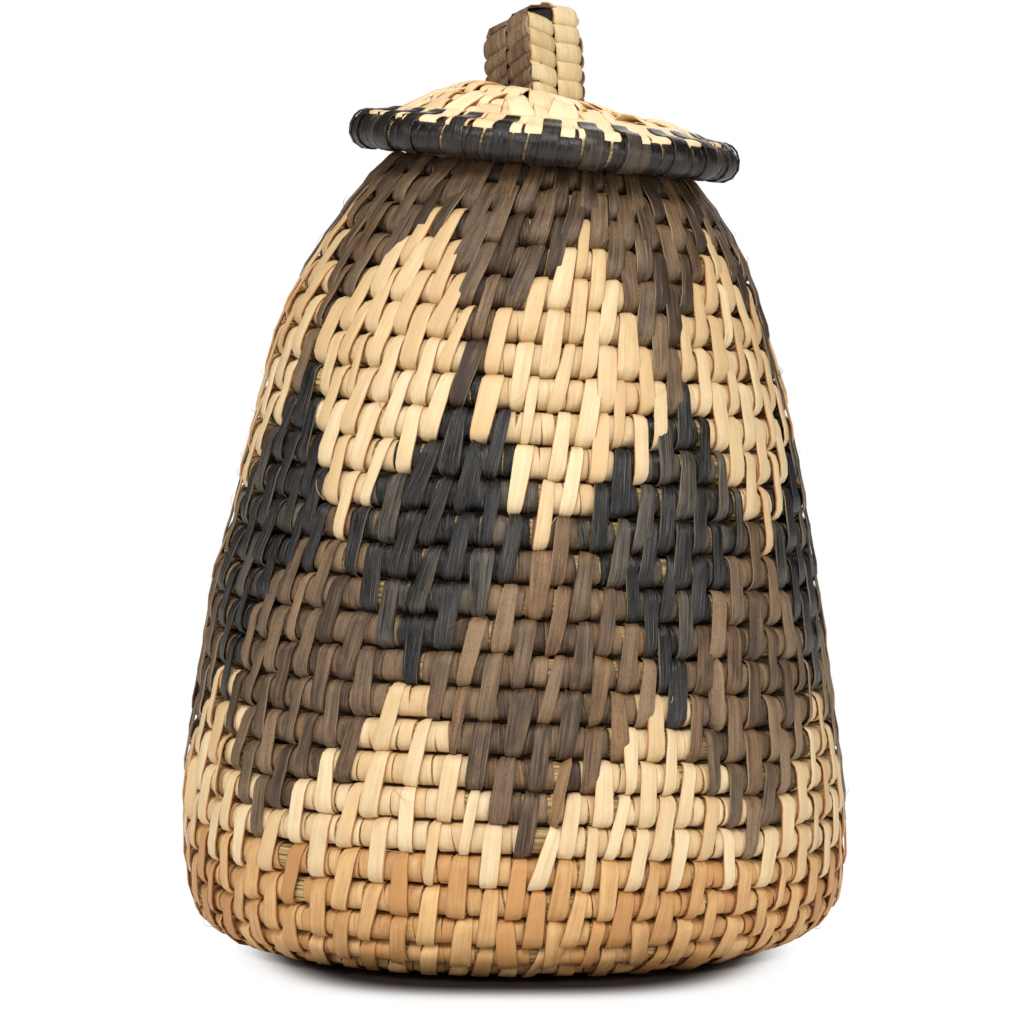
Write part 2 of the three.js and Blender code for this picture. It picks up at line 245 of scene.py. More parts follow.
# %% [markdown]
# A long stitch is a strip of palm that goes all the way round two rows, so it is a closed ring.
# Its section is a thin flat strip with rounded edges. Spun round an axis it makes a plain ring, the unit.
# Each stitch could be spun and bent by itself, but that is slow for a thousand of them.
# Here an Array modifier copies the unit once for each stitch, and then each copy is laid along its own path.
# Each one still has its own width, lean and lift.

# %% Unit ring
STRIP_SECTION = [
    (-1, 0.35), (-0.97, 0.86), (-0.84, 1.0), (0, 1.1), (0.84, 1.0), (0.97, 0.86), (1, 0.35),
    (0.88, 0), (-0.88, 0),
]
UNIT_RADIUS = 10


def width_map(section):
    """How far across the strip each corner of its section is, from 0 to 1."""
    return np.array([(a + 1) / 2 for a, _ in section])


def unit_ring(section, steps):
    """A ring spun from a strip's section, with the step and corner of each vertex, and its width map."""
    bm = bmesh.new()
    corners = [bm.verts.new((UNIT_RADIUS + b, 0, a)) for a, b in section]
    face = bm.faces.new(corners)
    edges = face.edges[:]
    bmesh.ops.delete(bm, geom=[face], context="FACES_ONLY")
    bmesh.ops.spin(
        bm, geom=corners + edges, cent=(0, 0, 0), axis=(0, 0, 1), angle=2 * math.pi, steps=steps,
        use_merge=True,
    )
    bmesh.ops.recalc_face_normals(bm, faces=bm.faces)
    mesh = bpy.data.meshes.new("unit_ring")
    bm.to_mesh(mesh)
    bm.free()
    spots = np.array([v.co for v in mesh.vertices])
    step = np.round(np.arctan2(spots[:, 1], spots[:, 0]) / (2 * math.pi) * steps).astype(int) % steps
    flat = np.stack([spots[:, 2], np.hypot(spots[:, 0], spots[:, 1]) - UNIT_RADIUS], axis=1)
    corner = np.argmin(np.linalg.norm(flat[:, None, :] - np.array(section)[None], axis=2), axis=1)
    return mesh, step, corner, width_map(section)


print("corners of a long stitch's section:", len(STRIP_SECTION))

# %% Copies of a ring
def add_piece(name, mesh, material):
    mesh.name = name
    mesh.materials.clear()
    mesh.materials.append(material)
    piece = bpy.data.objects.new(name, mesh)
    scene.collection.objects.link(piece)
    return piece


def dress(piece, body, slot, *replaced):
    """Says which body a piece rides on and which CAD nodes it stands for. Its slot, for the finish, is not
    used.
    """
    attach(piece, body)
    if replaced:
        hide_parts(*replaced)
    print(piece.name, len(piece.data.polygons), "faces")


def signed_volume(mesh, faces):
    """The volume of the first faces of a mesh: below zero if they face inwards."""
    volume = 0
    for face in mesh.polygons[:faces]:
        corners = [mesh.vertices[i].co for i in face.vertices]
        for b, c in zip(corners[1:], corners[2:]):
            volume += corners[0].dot(b.cross(c)) / 6
    return volume


def stamp(name, unit, spots, ring_length, traits, material):
    """Copies the unit once for each row of spots, and writes each copy's shape, UV map and traits."""
    mesh, step, corner, across = unit
    steps = spots.shape[1]
    source = bpy.data.objects.new(name + "_unit", mesh)
    scene.collection.objects.link(source)
    array = source.modifiers.new("copies", "ARRAY")
    array.count = len(spots)
    array.use_relative_offset = False
    array.use_constant_offset = True
    array.constant_offset_displace = (0, 0, 0)
    graph = bpy.context.evaluated_depsgraph_get()
    copies = bpy.data.meshes.new_from_object(source.evaluated_get(graph))
    bpy.data.objects.remove(source)
    copies.vertices.foreach_set("co", (spots[:, step, corner, :] * MM).ravel())
    loop_vertex = np.zeros(len(mesh.loops), int)
    mesh.loops.foreach_get("vertex_index", loop_vertex)
    turn = step[loop_vertex].astype(float)
    for loops in (list(face.loop_indices) for face in mesh.polygons):
        if np.ptp(turn[loops]) > 1.5:  # this face closes the ring, from the last step to the first
            turn[loops] = np.where(turn[loops] < 0.5, steps, turn[loops])
    lengths = np.arange(steps + 1) * ring_length * MM / steps
    along = np.interp(turn, np.arange(steps + 1), lengths)
    uv = np.tile(np.stack([across[corner[loop_vertex]], along], axis=1), (len(spots), 1))
    copies.uv_layers.new(name="strip").data.foreach_set("uv", uv.ravel())
    trait = copies.attributes.new("trait", "FLOAT_VECTOR", "POINT")
    trait.data.foreach_set("vector", np.repeat(traits, len(step), axis=0).ravel())
    if signed_volume(copies, len(mesh.polygons)) < 0:
        copies.flip_normals()
    copies.polygons.foreach_set("use_smooth", np.ones(len(copies.polygons), bool))
    return add_piece(name, copies, material)


# %% [markdown]
# The colours could be painted on as a picture, but on the real basket each strip is dyed before it is sewn.
# So the pattern is a rule of rows and angles, as it is for the weaver, who counts stitches.
# Eight repeats go round the basket. Each has a light diamond above and a brown diamond below,
# with black between them, a brown neck over them and light triangles under them.

# %% Pattern rule
COLOURS = ("cream", "tan", "brown", "black")
REPEATS = 8
PATTERN_ROUND = 359.2  # less than a turn, so the pattern drifts a little as the coil climbs
PATTERN_START = 199.5
HALF_REPEAT = PATTERN_ROUND / REPEATS / 2
DIAMOND_REACH, WIDEST, LIGHT_SPREAD = 5, 0.9, 1.05
LIGHT_MIDDLE, BROWN_MIDDLE = 4, 13
LIGHT_END = 18
PLAIN_NECK_ROWS = 2


def colour_at(line):
    """The colour of the strip at a place on the coil, given by the row line under it."""
    t = 360 * (line - ROW_LIFT) + PATTERN_START
    row = WALL_ROWS - 1 - PLAIN_NECK_ROWS - math.floor(t / PATTERN_ROUND)
    offset = abs(t % (2 * HALF_REPEAT) - HALF_REPEAT) / HALF_REPEAT
    if row < 0:
        return "brown"
    if row > LIGHT_END:
        return "tan"
    if row < LIGHT_MIDDLE + DIAMOND_REACH:
        if offset < min(LIGHT_SPREAD - abs(row - LIGHT_MIDDLE) / DIAMOND_REACH, WIDEST):
            return "cream"
        return "brown" if row <= LIGHT_MIDDLE else "black"
    if offset < min(1 - abs(row - BROWN_MIDDLE) / DIAMOND_REACH, WIDEST):
        return "brown"
    return "black" if row <= BROWN_MIDDLE else "cream"


print("colours up the front:", *[colour_at(row + ROW_LIFT) for row in range(0, WALL_ROWS, 3)])

# %% [markdown]
# The sewer puts each long stitch between two long stitches of the row below, so they lie like bricks.
# Evenly spaced stitches would look knitted. Where the basket widens a stitch is added, and where it narrows
# one is left out. Going along the coil once with that rule gives the places of all the long stitches.

# %% Where the long stitches go
rng = np.random.default_rng(41)
STITCH_GAP = {
    -9: 8.0, 0: 10.0, 2.5: 10.5, 4.5: 11.4, 7: 12.4, 12: 12.0, 14.5: 10.4, 17: 8.9, 20: 7.9, 25: 7.3
}  # by row line, in mm
LEFT_OUT = 0.56  # a space below this share of the gap gets no stitch
CLOSEST = 2.2  # mm between two stitches at least
FLOOR_START, WALL_END = -8.6, 24.6
MEAN_LEAN = 1.15  # mm that a long stitch leans over one row
INNER_RADIUS, LEAST_RADIUS = 5, 4


def long_stitches(surface, start, end, gap_at, jitter):
    """Places along the coil, in turns, of its long stitches."""
    places = [start]
    while places[-1] < start + 1:
        places.append(places[-1] + gap_at(places[-1]) / surface.around(places[-1], INNER_RADIUS))
    first = 0
    while places[first + 1] + 1 < end:
        low, high = places[first] + 1, places[first + 1] + 1
        around = surface.around(low, INNER_RADIUS)
        gap, wanted = (high - low) * around, gap_at(low)
        count = 0 if gap < LEFT_OUT * wanted else max(1, round(gap / wanted - 0.06))
        for i in range(count):
            spot = low + (high - low) * (i + 0.5) / count
            spot += (rng.normal(0, jitter) - MEAN_LEAN) / around
            if spot > places[-1] + CLOSEST / around:
                places.append(spot)
        first += 1
    return np.array([p for p in places if p < end])


def wall_gap(line):
    return float(look_up(STITCH_GAP, line))


wall_places = long_stitches(basket, FLOOR_START, WALL_END, wall_gap, 0.8)
print("long stitches:", len(wall_places))

# %% [markdown]
# A row's section is between a circle and a square, because neighbouring rows press on each other.
# Round tubes would leave deep grooves, and boxes would look machined.
# The same rounded section gives the grass core, the short wraps on it, and the paths of the long stitches.

# %% Sections of a row
ROUNDNESS = 0.82


def section_of(angle):
    """Outward and upward parts of a place on a row's section. Angle 0 faces out, 90 degrees faces up."""
    c, s = np.cos(np.radians(angle)), np.sin(np.radians(angle))
    return np.sign(c) * np.abs(c) ** ROUNDNESS, np.sign(s) * np.abs(s) ** ROUNDNESS


def row_span(surface, line):
    """Middle and half height, in rows, of the coil at a place, and its half thickness in mm."""
    top, low = np.minimum(line + 1, surface.lines[-1]), np.maximum(line, surface.lines[0])
    middle, half = (low + top) / 2, np.maximum((top - low) / 2, 0.05)
    return middle, half, half * surface.row_height(middle)


print("half a row at the belly, mm:", round(float(row_span(basket, 6.0)[2]), 2))

# %% [markdown]
# Between two long stitches the coil is bound with short wraps, which go round one row only.
# One wide sleeve with grooves would be cheaper, but here light shows between the strips, so each is a ring.

# %% Short wraps
WRAP_SECTION = [(-1, 0.2), (-0.94, 0.88), (-0.7, 1.02), (0.7, 1.02), (0.94, 0.88), (1, 0.2), (0, -0.2)]
WRAP_ANGLES = np.array([118, 92, 66, 42, 18, -6, -30, -54, -78, -104, -140, 180, 145.0])
CORE_SCALE, WRAP_SCALE = 0.83, 0.925  # parts of the row's own half thickness
STITCH_COVER = 0.6  # the share of a long stitch's width under which no wrap lies
wrap_unit = unit_ring(WRAP_SECTION, len(WRAP_ANGLES))


def wrap_spots(surface, lines, widths, rolls, leans):
    """Corner places of short wraps, for each wrap, step and corner of the section."""
    a, b = (np.array(x)[None, None, :] for x in zip(*WRAP_SECTION))
    out, up = (x[None, :, None] for x in section_of(WRAP_ANGLES))
    line = lines[:, None, None]
    middle, half, thick = row_span(surface, line)
    scale = CORE_SCALE + (WRAP_SCALE - CORE_SCALE) * b + rolls[:, None, None] * a
    spread = widths[:, None, None] / 2 * a + leans[:, None, None] * up
    around = np.maximum(surface.crest_radius(middle), LEAST_RADIUS)
    angle = coil_angle(line) + np.degrees(spread / around)
    return surface.place(middle + half * scale * up, thick * (1 - scale * out), angle)


def wraps_between(surface, places, stitch_width, wrap_width, missing, end):
    """Lines, widths, rolls and leans of the short wraps that fill the coil between its long stitches."""
    found = []
    for low, high in zip(places, places[1:]):
        around = surface.around(low + 0.5, LEAST_RADIUS)
        room = (high - low) * around - stitch_width * STITCH_COVER
        count = max(1, round(room / wrap_width))
        step = room / count
        for i in range(count):
            if rng.random() < missing or low > end:
                continue
            at = low + (stitch_width * STITCH_COVER / 2 + step * (i + 0.5) + rng.normal(0, 0.15)) / around
            found.append((at, step * rng.uniform(0.9, 1.1), rng.normal(0, 0.02), rng.normal(0, 0.3)))
    return np.array(found).T


print("faces in one short wrap:", len(wrap_unit[0].polygons))

# %% [markdown]
# A long stitch goes over its own row, over the row below it, and back up inside the wall.
# Steps of its path say which row it is on, the angle on that row, and how far out the strip lies there.

# %% Long stitches
STITCH_PATH = [
    (0, 112, 0.84), (0, 84, 0.90), (0, 56, 0.92), (0, 30, 0.93), (0, 4, 0.93), (-0.5, 0, 0.92),
    (-1, 4, 0.985), (-1, -22, 0.99), (-1, -46, 0.99), (-1, -70, 0.98), (-1, -95, 0.95), (-1, -120, 0.90),
    (-1, -160, 0.95), (-0.5, 180, 0.9), (0, 180, 0.93), (0, 145, 0.9),
]
BRIDGE = -0.5  # the row of the steps that cross from one row to the other
STRIP_THICKNESS = 0.13
TAPER = 0.3
stitch_unit = unit_ring(STRIP_SECTION, len(STITCH_PATH))


def stitch_spots(surface, lines, widths, leans, lifts, rolls, flares=0):
    """Corner places of long stitches, which go round their own row and the row below it."""
    a, b = (np.array(x)[None, None, :] for x in zip(*STRIP_SECTION))
    row, turn, scale = (np.array(x)[None, :, None] for x in zip(*STITCH_PATH))
    out, up = section_of(turn)
    line = lines[:, None, None]
    own_span = row_span(surface, line)
    low_span = row_span(surface, np.maximum(line - 1, surface.lines[0] - 0.9))
    centre, half, thick = (own * (1 + row) + low * -row for own, low in zip(own_span, low_span))
    scale = scale + STRIP_THICKNESS * b + rolls[:, None, None] * a
    scale = scale + lifts[:, None, None] * np.clip(out, 0, 1) * np.where(row == 0, 0.5, 1.0)
    height = half * scale * up * np.where(row == BRIDGE, 0.0, 1.0)
    rise = (centre - line) + height
    flare = 1 + np.reshape(flares, (-1, 1, 1)) * rise
    taper = 1 - TAPER * np.abs(up) ** 5
    spread = widths[:, None, None] / 2 * a * taper * flare + leans[:, None, None] * rise
    around = np.maximum(surface.crest_radius(line), LEAST_RADIUS)
    angle = coil_angle(line) + np.degrees(spread / around)
    return surface.place(centre + height, thick * (1 - scale * out), angle)


print("faces in one long stitch:", len(stitch_unit[0].polygons))

# %% [markdown]
# Palm strips are split leaf: matt, with fine lines along them and edges that dry to a warmer tone.
# Noise in space would run straight across a strip that turns, so the noise follows the strip's own UV map.
# One node group makes it, with named inputs, and every colour of strip uses it.

# %% Node helpers
def link(tree, source, target):
    tree.links.new(source, target)


def node(tree, kind, **settings):
    made = tree.nodes.new(kind)
    for key, value in settings.items():
        setattr(made, key, value)
    return made


def feed(tree, sockets, values):
    """Links each socket to its value where that is a socket, and otherwise sets it."""
    for socket, value in zip(sockets, values):
        if isinstance(value, bpy.types.NodeSocket):
            link(tree, value, socket)
        else:
            socket.default_value = value


def mix_colour(tree, factor, a, b):
    made = node(tree, "ShaderNodeMix", data_type="RGBA")
    feed(tree, (made.inputs[0], made.inputs[6], made.inputs[7]), (factor, a, b))
    return made.outputs[2]


def math_node(tree, operation, a, b=0.5, clamp=False):
    made = node(tree, "ShaderNodeMath", operation=operation, use_clamp=clamp)
    feed(tree, made.inputs, (a, b))
    return made.outputs[0]


def ranged(tree, value, low, high, to_low=0.0, to_high=1.0, smooth=False):
    kind = "SMOOTHSTEP" if smooth else "LINEAR"
    made = node(tree, "ShaderNodeMapRange", clamp=True, interpolation_type=kind)
    feed(tree, made.inputs, (value, low, high, to_low, to_high))
    return made.outputs[0]


def strip_place(tree):
    """How far across a strip a spot is, from 0 to 1, and how far along it, in metres."""
    uv = node(tree, "ShaderNodeUVMap", uv_map="strip")
    split = node(tree, "ShaderNodeSeparateXYZ")
    link(tree, uv.outputs[0], split.inputs[0])
    return split.outputs[:2]


def strip_noise(tree, place, across, along, detail, seed=None):
    """Noise that is drawn out along a strip, with its scales across the width and along each metre."""
    at = node(tree, "ShaderNodeCombineXYZ")
    scaled = [math_node(tree, "MULTIPLY", *pair) for pair in zip(place, (across, along))]
    feed(tree, at.inputs, scaled + [seed] * (seed is not None))
    noise = node(tree, "ShaderNodeTexNoise", noise_dimensions="2D" if seed is None else "3D")
    noise.inputs["Scale"].default_value = 1.0
    noise.inputs["Detail"].default_value = detail
    link(tree, at.outputs[0], noise.inputs["Vector"])
    return noise.outputs["Fac"]


# %% Palm strip group
PALM_INPUTS = {
    "Light": "Color", "Dark": "Color", "Tint": "Color", "Edge": "Color", "Tinted": "Float",
    "Streaks": "Float", "Painted Sheen Lines": "Float", "Specks": "Float", "Edge Width": "Float", "Variety": "Float",
}
PALM_OUTPUTS = {"Color": "Color", "Height": "Float", "Roughness": "Float"}
# The sheen colour is a painted highlight: pale lines where gloss would catch the light. The specks are the
# leaf's own.
PAINTED_SHEEN_COLOUR, SPECK_COLOUR = (0.24, 0.225, 0.21, 1), (0.014, 0.011, 0.009, 1)


def palm_group():
    tree = bpy.data.node_groups.new("palm_strip", "ShaderNodeTree")
    for in_out, sockets in (("INPUT", PALM_INPUTS), ("OUTPUT", PALM_OUTPUTS)):
        for name, kind in sockets.items():
            tree.interface.new_socket(name, in_out=in_out, socket_type="NodeSocket" + kind)
    ins, outs = node(tree, "NodeGroupInput").outputs, node(tree, "NodeGroupOutput").inputs

    def maths(operation, a, b, clamp=False):
        return math_node(tree, operation, a, b, clamp)

    def swing(value, amount):
        """A value from 0 to 1 made into a change to either side of none."""
        return maths("MULTIPLY", maths("SUBTRACT", value, 0.5), amount)

    place = strip_place(tree)
    trait = node(tree, "ShaderNodeAttribute", attribute_name="trait")
    traits = node(tree, "ShaderNodeSeparateXYZ")
    link(tree, trait.outputs["Vector"], traits.inputs[0])
    tone, edges, seed = traits.outputs
    apart = maths("MULTIPLY", seed, 40.0)
    lines = strip_noise(tree, place, 30.0, 110.0, 3.0, apart)
    broad = strip_noise(tree, place, 5.0, 60.0, 1.0, apart)
    patches = strip_noise(tree, place, 1.6, 260.0, 2.0, apart)
    specks = strip_noise(tree, place, 14.0, 3400.0, 1.0, apart)

    # Tone: each strip has its own, with streaks, broad bands and patches on it.
    shade = maths("MULTIPLY", tone, ins["Variety"])
    streaks = swing(ranged(tree, lines, 0.34, 0.68), ins["Streaks"])
    for part in (streaks, swing(broad, 0.9), swing(patches, 0.8), 0.5):
        shade = maths("ADD", shade, part)
    shade = maths("ADD", shade, 0.0, clamp=True)
    tinted = maths("GREATER_THAN", ins["Tinted"], seed)
    light = mix_colour(tree, tinted, ins["Light"], ins["Tint"])
    colour = mix_colour(tree, shade, ins["Dark"], light)
    # Painted sheen: pale lines along the strip, standing in for highlights where the light would catch.
    painted_sheen = maths("MULTIPLY", ranged(tree, lines, 0.56, 0.72), ins["Painted Sheen Lines"])
    colour = mix_colour(tree, painted_sheen, colour, PAINTED_SHEEN_COLOUR)
    speck = maths("MULTIPLY", ranged(tree, specks, 0.60, 0.70), ins["Specks"])
    colour = mix_colour(tree, speck, colour, SPECK_COLOUR)

    # Each strip has its dried edge on the left, on the right or on both sides.
    side = maths("SUBTRACT", place[0], 0.5)
    left = maths("MULTIPLY", maths("LESS_THAN", side, 0.0), ranged(tree, edges, 0.2, 0.55))
    right = maths("MULTIPLY", maths("GREATER_THAN", side, 0.0), ranged(tree, edges, 0.45, 0.8, 1.0, 0.0))
    width = maths("MULTIPLY", ins["Edge Width"], ranged(tree, broad, 0.3, 0.7, 0.4, 1.6))
    edge = maths("SUBTRACT", maths("ABSOLUTE", side, 0.5), maths("SUBTRACT", 0.5, width))
    edge = maths("MULTIPLY", edge, 40.0, clamp=True)
    edge = maths("MULTIPLY", edge, maths("ADD", left, right))
    link(tree, mix_colour(tree, edge, colour, ins["Edge"]), outs["Color"])
    height = maths("ADD", lines, maths("MULTIPLY", broad, 1.2))
    link(tree, maths("ADD", height, maths("MULTIPLY", specks, 0.3)), outs["Height"])
    link(tree, ranged(tree, lines, 0.3, 0.7, -0.08, 0.1), outs["Roughness"])
    return tree


palm = palm_group()
print("nodes in the palm group:", len(palm.nodes))

# %% [markdown]
# The strips are cream, tan, brown and black. The lid's are painted paler, as painted light on the dome, which
# the camera sees at a low angle.
# The knob's are yellower, and the rim's dark strips are smoother and a little glossy. The grass inside shows
# only in gaps, as bundled stalks.

# %% Palm materials
# Light, dark, tint and edge colours; the group's other inputs, in their order; roughness, relief and gloss.
PALM_KINDS = {
    "cream_palm": (
        [(233, 208, 166), (205, 171, 122), (222, 188, 139), (184, 124, 70)],
        (0.18, 0.3, 0.0, 0.06, 0.05, 0.55), 0.46, 0.25, 0.4,
    ),
    "tan_palm": (
        [(224, 182, 124), (184, 132, 78), (206, 152, 94), (150, 92, 48)],
        (0.3, 0.4, 0.0, 0.12, 0.05, 0.7), 0.46, 0.3, 0.4,
    ),
    "brown_palm": (
        [(147, 118, 86), (58, 41, 27), (152, 115, 78), (164, 138, 104)],
        (0.24, 0.6, 0.16, 0.6, 0.03, 0.65), 0.44, 0.5, 0.4,
    ),
    "black_palm": (
        [(37, 32, 28), (3, 3, 2), (108, 95, 77), (132, 113, 88)],
        (0.36, 0.6, 0.55, 0.0, 0.03, 0.8), 0.26, 0.6, 0.46,
    ),
    # Painted light: the lid's cream is paler than the wall's, for the dome seen at a low angle.
    "lid_painted_light_palm": (
        [(250, 229, 186), (232, 200, 150), (240, 208, 158), (204, 144, 86)],
        (0.18, 0.3, 0.0, 0.06, 0.05, 0.55), 0.46, 0.25, 0.4,
    ),
    "knob_palm": (
        [(228, 207, 165), (194, 166, 116), (222, 194, 146), (196, 142, 88)],
        (0.18, 0.3, 0.0, 0.12, 0.04, 0.7), 0.46, 0.3, 0.4,
    ),
    "rim_palm": (
        [(45, 35, 30), (10, 7, 6), (82, 68, 54), (66, 52, 40)],
        (0.16, 0.45, 0.12, 0.0, 0.04, 0.55), 0.27, 0.32, 0.42,
    ),
    # The seam's dark colour is painted shade, for the strips that lie deep between the rows.
    "seam_shade_palm": (
        [(84, 66, 44), (44, 33, 22), (96, 76, 50), (96, 76, 50)],
        (0.3, 0.5, 0.0, 0.3, 0.05, 0.5), 0.6, 0.4, 0.3,
    ),
    # The knob filling's dark colour is painted shade, for the strips packed inside the column.
    "knob_filling": (
        [(52, 42, 34), (30, 24, 20), (40, 32, 26), (40, 32, 26)],
        (0.2, 0.3, 0.0, 0.0, 0.05, 0.3), 0.8, 0.3, 0.3,
    ),
}


def srgb(r, g, b):
    """A colour written as it looks on screen, 0 to 255, turned into the linear values that nodes use."""
    shares = [x / 255 for x in (r, g, b)]
    return (*(x / 12.92 if x < 0.04 else ((x + 0.055) / 1.055) ** 2.4 for x in shares), 1)


def new_material(name):
    material = bpy.data.materials.new(name)
    material.use_nodes = True
    return material, material.node_tree, material.node_tree.nodes["Principled BSDF"]


def add_relief(tree, shader, height, strength, distance):
    relief = node(tree, "ShaderNodeBump")
    relief.inputs["Strength"].default_value = strength
    relief.inputs["Distance"].default_value = distance
    link(tree, height, relief.inputs["Height"])
    link(tree, relief.outputs["Normal"], shader.inputs["Normal"])


def palm_material(name, colours, looks, roughness, bump, gloss):
    material, tree, shader = new_material(name)
    group = node(tree, "ShaderNodeGroup", node_tree=palm)
    for key, value in zip(PALM_INPUTS, [srgb(*colour) for colour in colours] + list(looks)):
        group.inputs[key].default_value = value
    link(tree, group.outputs["Color"], shader.inputs["Base Color"])
    link(tree, math_node(tree, "ADD", group.outputs["Roughness"], roughness), shader.inputs["Roughness"])
    shader.inputs["Specular IOR Level"].default_value = gloss
    add_relief(tree, shader, group.outputs["Height"], bump, 0.0004)
    material.diffuse_color = srgb(*colours[0])
    return material


palms = {name: palm_material(name, *settings) for name, settings in PALM_KINDS.items()}
print("palm materials:", ", ".join(palms))

# %% Grass material
grass, tree, shader = new_material("grass_core")
stalks = strip_noise(tree, strip_place(tree), 26.0, 14.0, 2.0)
colour = mix_colour(tree, ranged(tree, stalks, 0.35, 0.65), srgb(118, 88, 50), srgb(208, 178, 118))
link(tree, colour, shader.inputs["Base Color"])
shader.inputs["Roughness"].default_value = 0.6
add_relief(tree, shader, stalks, 0.8, 0.0006)
print("grass nodes:", len(tree.nodes))

# %% [markdown]
# The grass core is one unbroken tube, from the middle of the floor to the mouth.
# A curve with a round bevel could be it, but its section would stay a circle.
# So a flat grid is drawn out ring by ring: each ring is moved to its place on the spiral, and the two long
# sides are merged into a tube. Its two ends stay open, because they lie inside the basket.

# %% Tubes
CORE_CORNERS, CORE_TURN = 10, 18
PLAIN = (0, 0, 0)  # no traits


def tubes(name, shapes, width_map, material):
    """Tubes or strips with open ends. A shape has rings of corner places in mm, and that strip's traits."""
    bm = bmesh.new()
    layer = bm.loops.layers.uv.new("strip")
    trait = bm.verts.layers.float_vector.new("trait")
    for spots, own_traits in shapes:
        rings, corners = spots.shape[:2]
        steps = np.linalg.norm(np.diff(spots.mean(axis=1), axis=0), axis=1)
        lengths = np.concatenate([[0], np.cumsum(steps)]) * MM
        verts = bmesh.ops.create_grid(bm, x_segments=corners, y_segments=rings - 1, size=1)["verts"]
        for vert in verts:
            across, along = round((vert.co.x + 1) / 2 * corners), round((vert.co.y + 1) / 2 * (rings - 1))
            for loop in vert.link_loops:
                loop[layer].uv = (width_map[across], lengths[along])
            vert.co = Vector(spots[along, across % corners]) * MM
            vert[trait] = Vector(own_traits)
        bmesh.ops.remove_doubles(bm, verts=verts, dist=1e-7)
    for face in bm.faces:
        face.smooth = True
    bmesh.ops.recalc_face_normals(bm, faces=bm.faces)
    mesh = bpy.data.meshes.new(name)
    bm.to_mesh(mesh)
    bm.free()
    return add_piece(name, mesh, material)


def coil_core(name, surface, start, end, per_turn):
    lines = np.linspace(start, end, int((end - start) * per_turn) + 1)[:, None]
    out, up = section_of(np.arange(CORE_CORNERS) * 360 / CORE_CORNERS + CORE_TURN)
    middle, half, thick = row_span(surface, lines)
    depth = thick * (1 - CORE_SCALE * out)
    spots = surface.place(middle + half * CORE_SCALE * up, depth, coil_angle(lines))
    return tubes(name, [(spots, PLAIN)], np.linspace(0, 1, CORE_CORNERS + 1), grass)


# %% Wall and floor core
CORE_START, CORE_END, CORE_STEPS = FLOOR_START - 0.4, 24.94, 110
core = coil_core("grass_coil", basket, CORE_START, CORE_END, CORE_STEPS)
dress(core, "basket", "grass", "wall_core", "floor_coil")

# %% [markdown]
# Light mustn't shine through between two rows. On the real basket the strips cross there and close the gap.
# A thin dark cord behind each line between rows does the same with few faces. It stands for the strips that
# cross there, and its dark colour is painted shade.

# %% Seam between the rows
SEAM_CORNERS, SEAM_HALF = 5, 0.15
SEAM_DEPTH, SEAM_THICKNESS = 1.4, 0.3  # in half thicknesses of a row
lines = np.linspace(FLOOR_START + 1, CORE_END, 2000)[:, None]
out, up = section_of(np.arange(SEAM_CORNERS) * 360 / SEAM_CORNERS)
depth = row_span(basket, lines)[2] * (SEAM_DEPTH - SEAM_THICKNESS * out)
spots = basket.place(lines + SEAM_HALF * up, depth, coil_angle(lines))
seam = tubes("row_seam", [(spots, PLAIN)], np.linspace(0, 1, SEAM_CORNERS + 1), palms["seam_shade_palm"])
dress(seam, "basket", "grass")

# %% [markdown]
# The strips are sorted by colour, so each colour is one piece and stands for the CAD wraps of that colour.
# A piece for each strip would be four thousand pieces.
# Its material reads three traits of each strip: its tone, on which side it dried, and a seed for its noise.

# %% Strips by colour
TONE_SPREAD, TONE_LIMIT = 0.33, 0.75
# Painted shade: the strips of the upper rows, under the lid's rim, are darker.
NECK_PAINTED_SHADE, NECK_ROWS = 0.42, (16, 20)  # the strips of the upper rows are darker


def strip_traits(count):
    """Tone, dried edge and noise seed of each strip."""
    tone = np.clip(rng.normal(0, TONE_SPREAD, count), -TONE_LIMIT, TONE_LIMIT)
    return np.stack([tone, rng.random(count), rng.random(count)], axis=1)


def colour_nodes(colour):
    return [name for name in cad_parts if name.startswith(colour) and "strand" not in name]


def sew_wall(kind, places, spots, unit, ring_length, stands_in=False):
    """Makes one piece of the strips of each colour. It may stand in for the CAD nodes of that colour."""
    traits = strip_traits(len(places)) - [[NECK_PAINTED_SHADE, 0, 0]] * smooth_step(places, *NECK_ROWS)[:, None]
    colours = np.array([colour_at(p) for p in places])
    for colour in COLOURS:
        chosen = np.flatnonzero(colours == colour)
        slot = colour + "_palm"
        piece = stamp(colour + kind, unit, spots[chosen], ring_length, traits[chosen], palms[slot])
        print(len(chosen), "strips: ", end="")
        dress(piece, "basket", slot, *(colour_nodes(colour) if stands_in else []))


# %% Sew the wall's long stitches
STITCH_LENGTH, WRAP_LENGTH = 38, 24  # mm of strip in one ring
count = len(wall_places)
widths = np.clip(rng.normal(4.0, 0.42, count), 2.9, 5.0)
widths[rng.random(count) < 0.1] *= 0.68
leans = rng.normal(MEAN_LEAN, 0.6, count)
lifts = np.abs(rng.normal(0.0, 0.05, count))
rolls = rng.normal(0, 0.03, count) * np.where(rng.random(count) < 0.08, 4, 1)
flares = rng.normal(0, 0.12, count)
spots = stitch_spots(basket, wall_places, widths, leans, lifts, rolls, flares)
sew_wall("_long_stitches", wall_places, spots, stitch_unit, STITCH_LENGTH, stands_in=True)

# %% Sew the wall's short wraps
wraps = wraps_between(basket, wall_places, 3.6, 3.3, 0.018, 24.4)
sew_wall("_short_wraps", wraps[0], wrap_spots(basket, *wraps), wrap_unit, WRAP_LENGTH)

# %% [markdown]
# Split leaf sheds hairs. Blender's own hair wouldn't export, so each one is a thin bent tube.
# It starts inside a strip, stands off the wall in the middle and bends back towards it.

# %% Stray fibres
HAIRS, HAIR_STEPS = 150, 7
HAIR_THICKNESS, HAIR_TAPER = 0.085, 0.6
HAIR_DEPTH, HAIR_RISE = 1.2, 2.6  # how deep it starts, and how far it rises from there
HAIR_CORNERS = np.radians([90, 210, 330])
HAIR_TRAITS = (0.5, 0, 1)


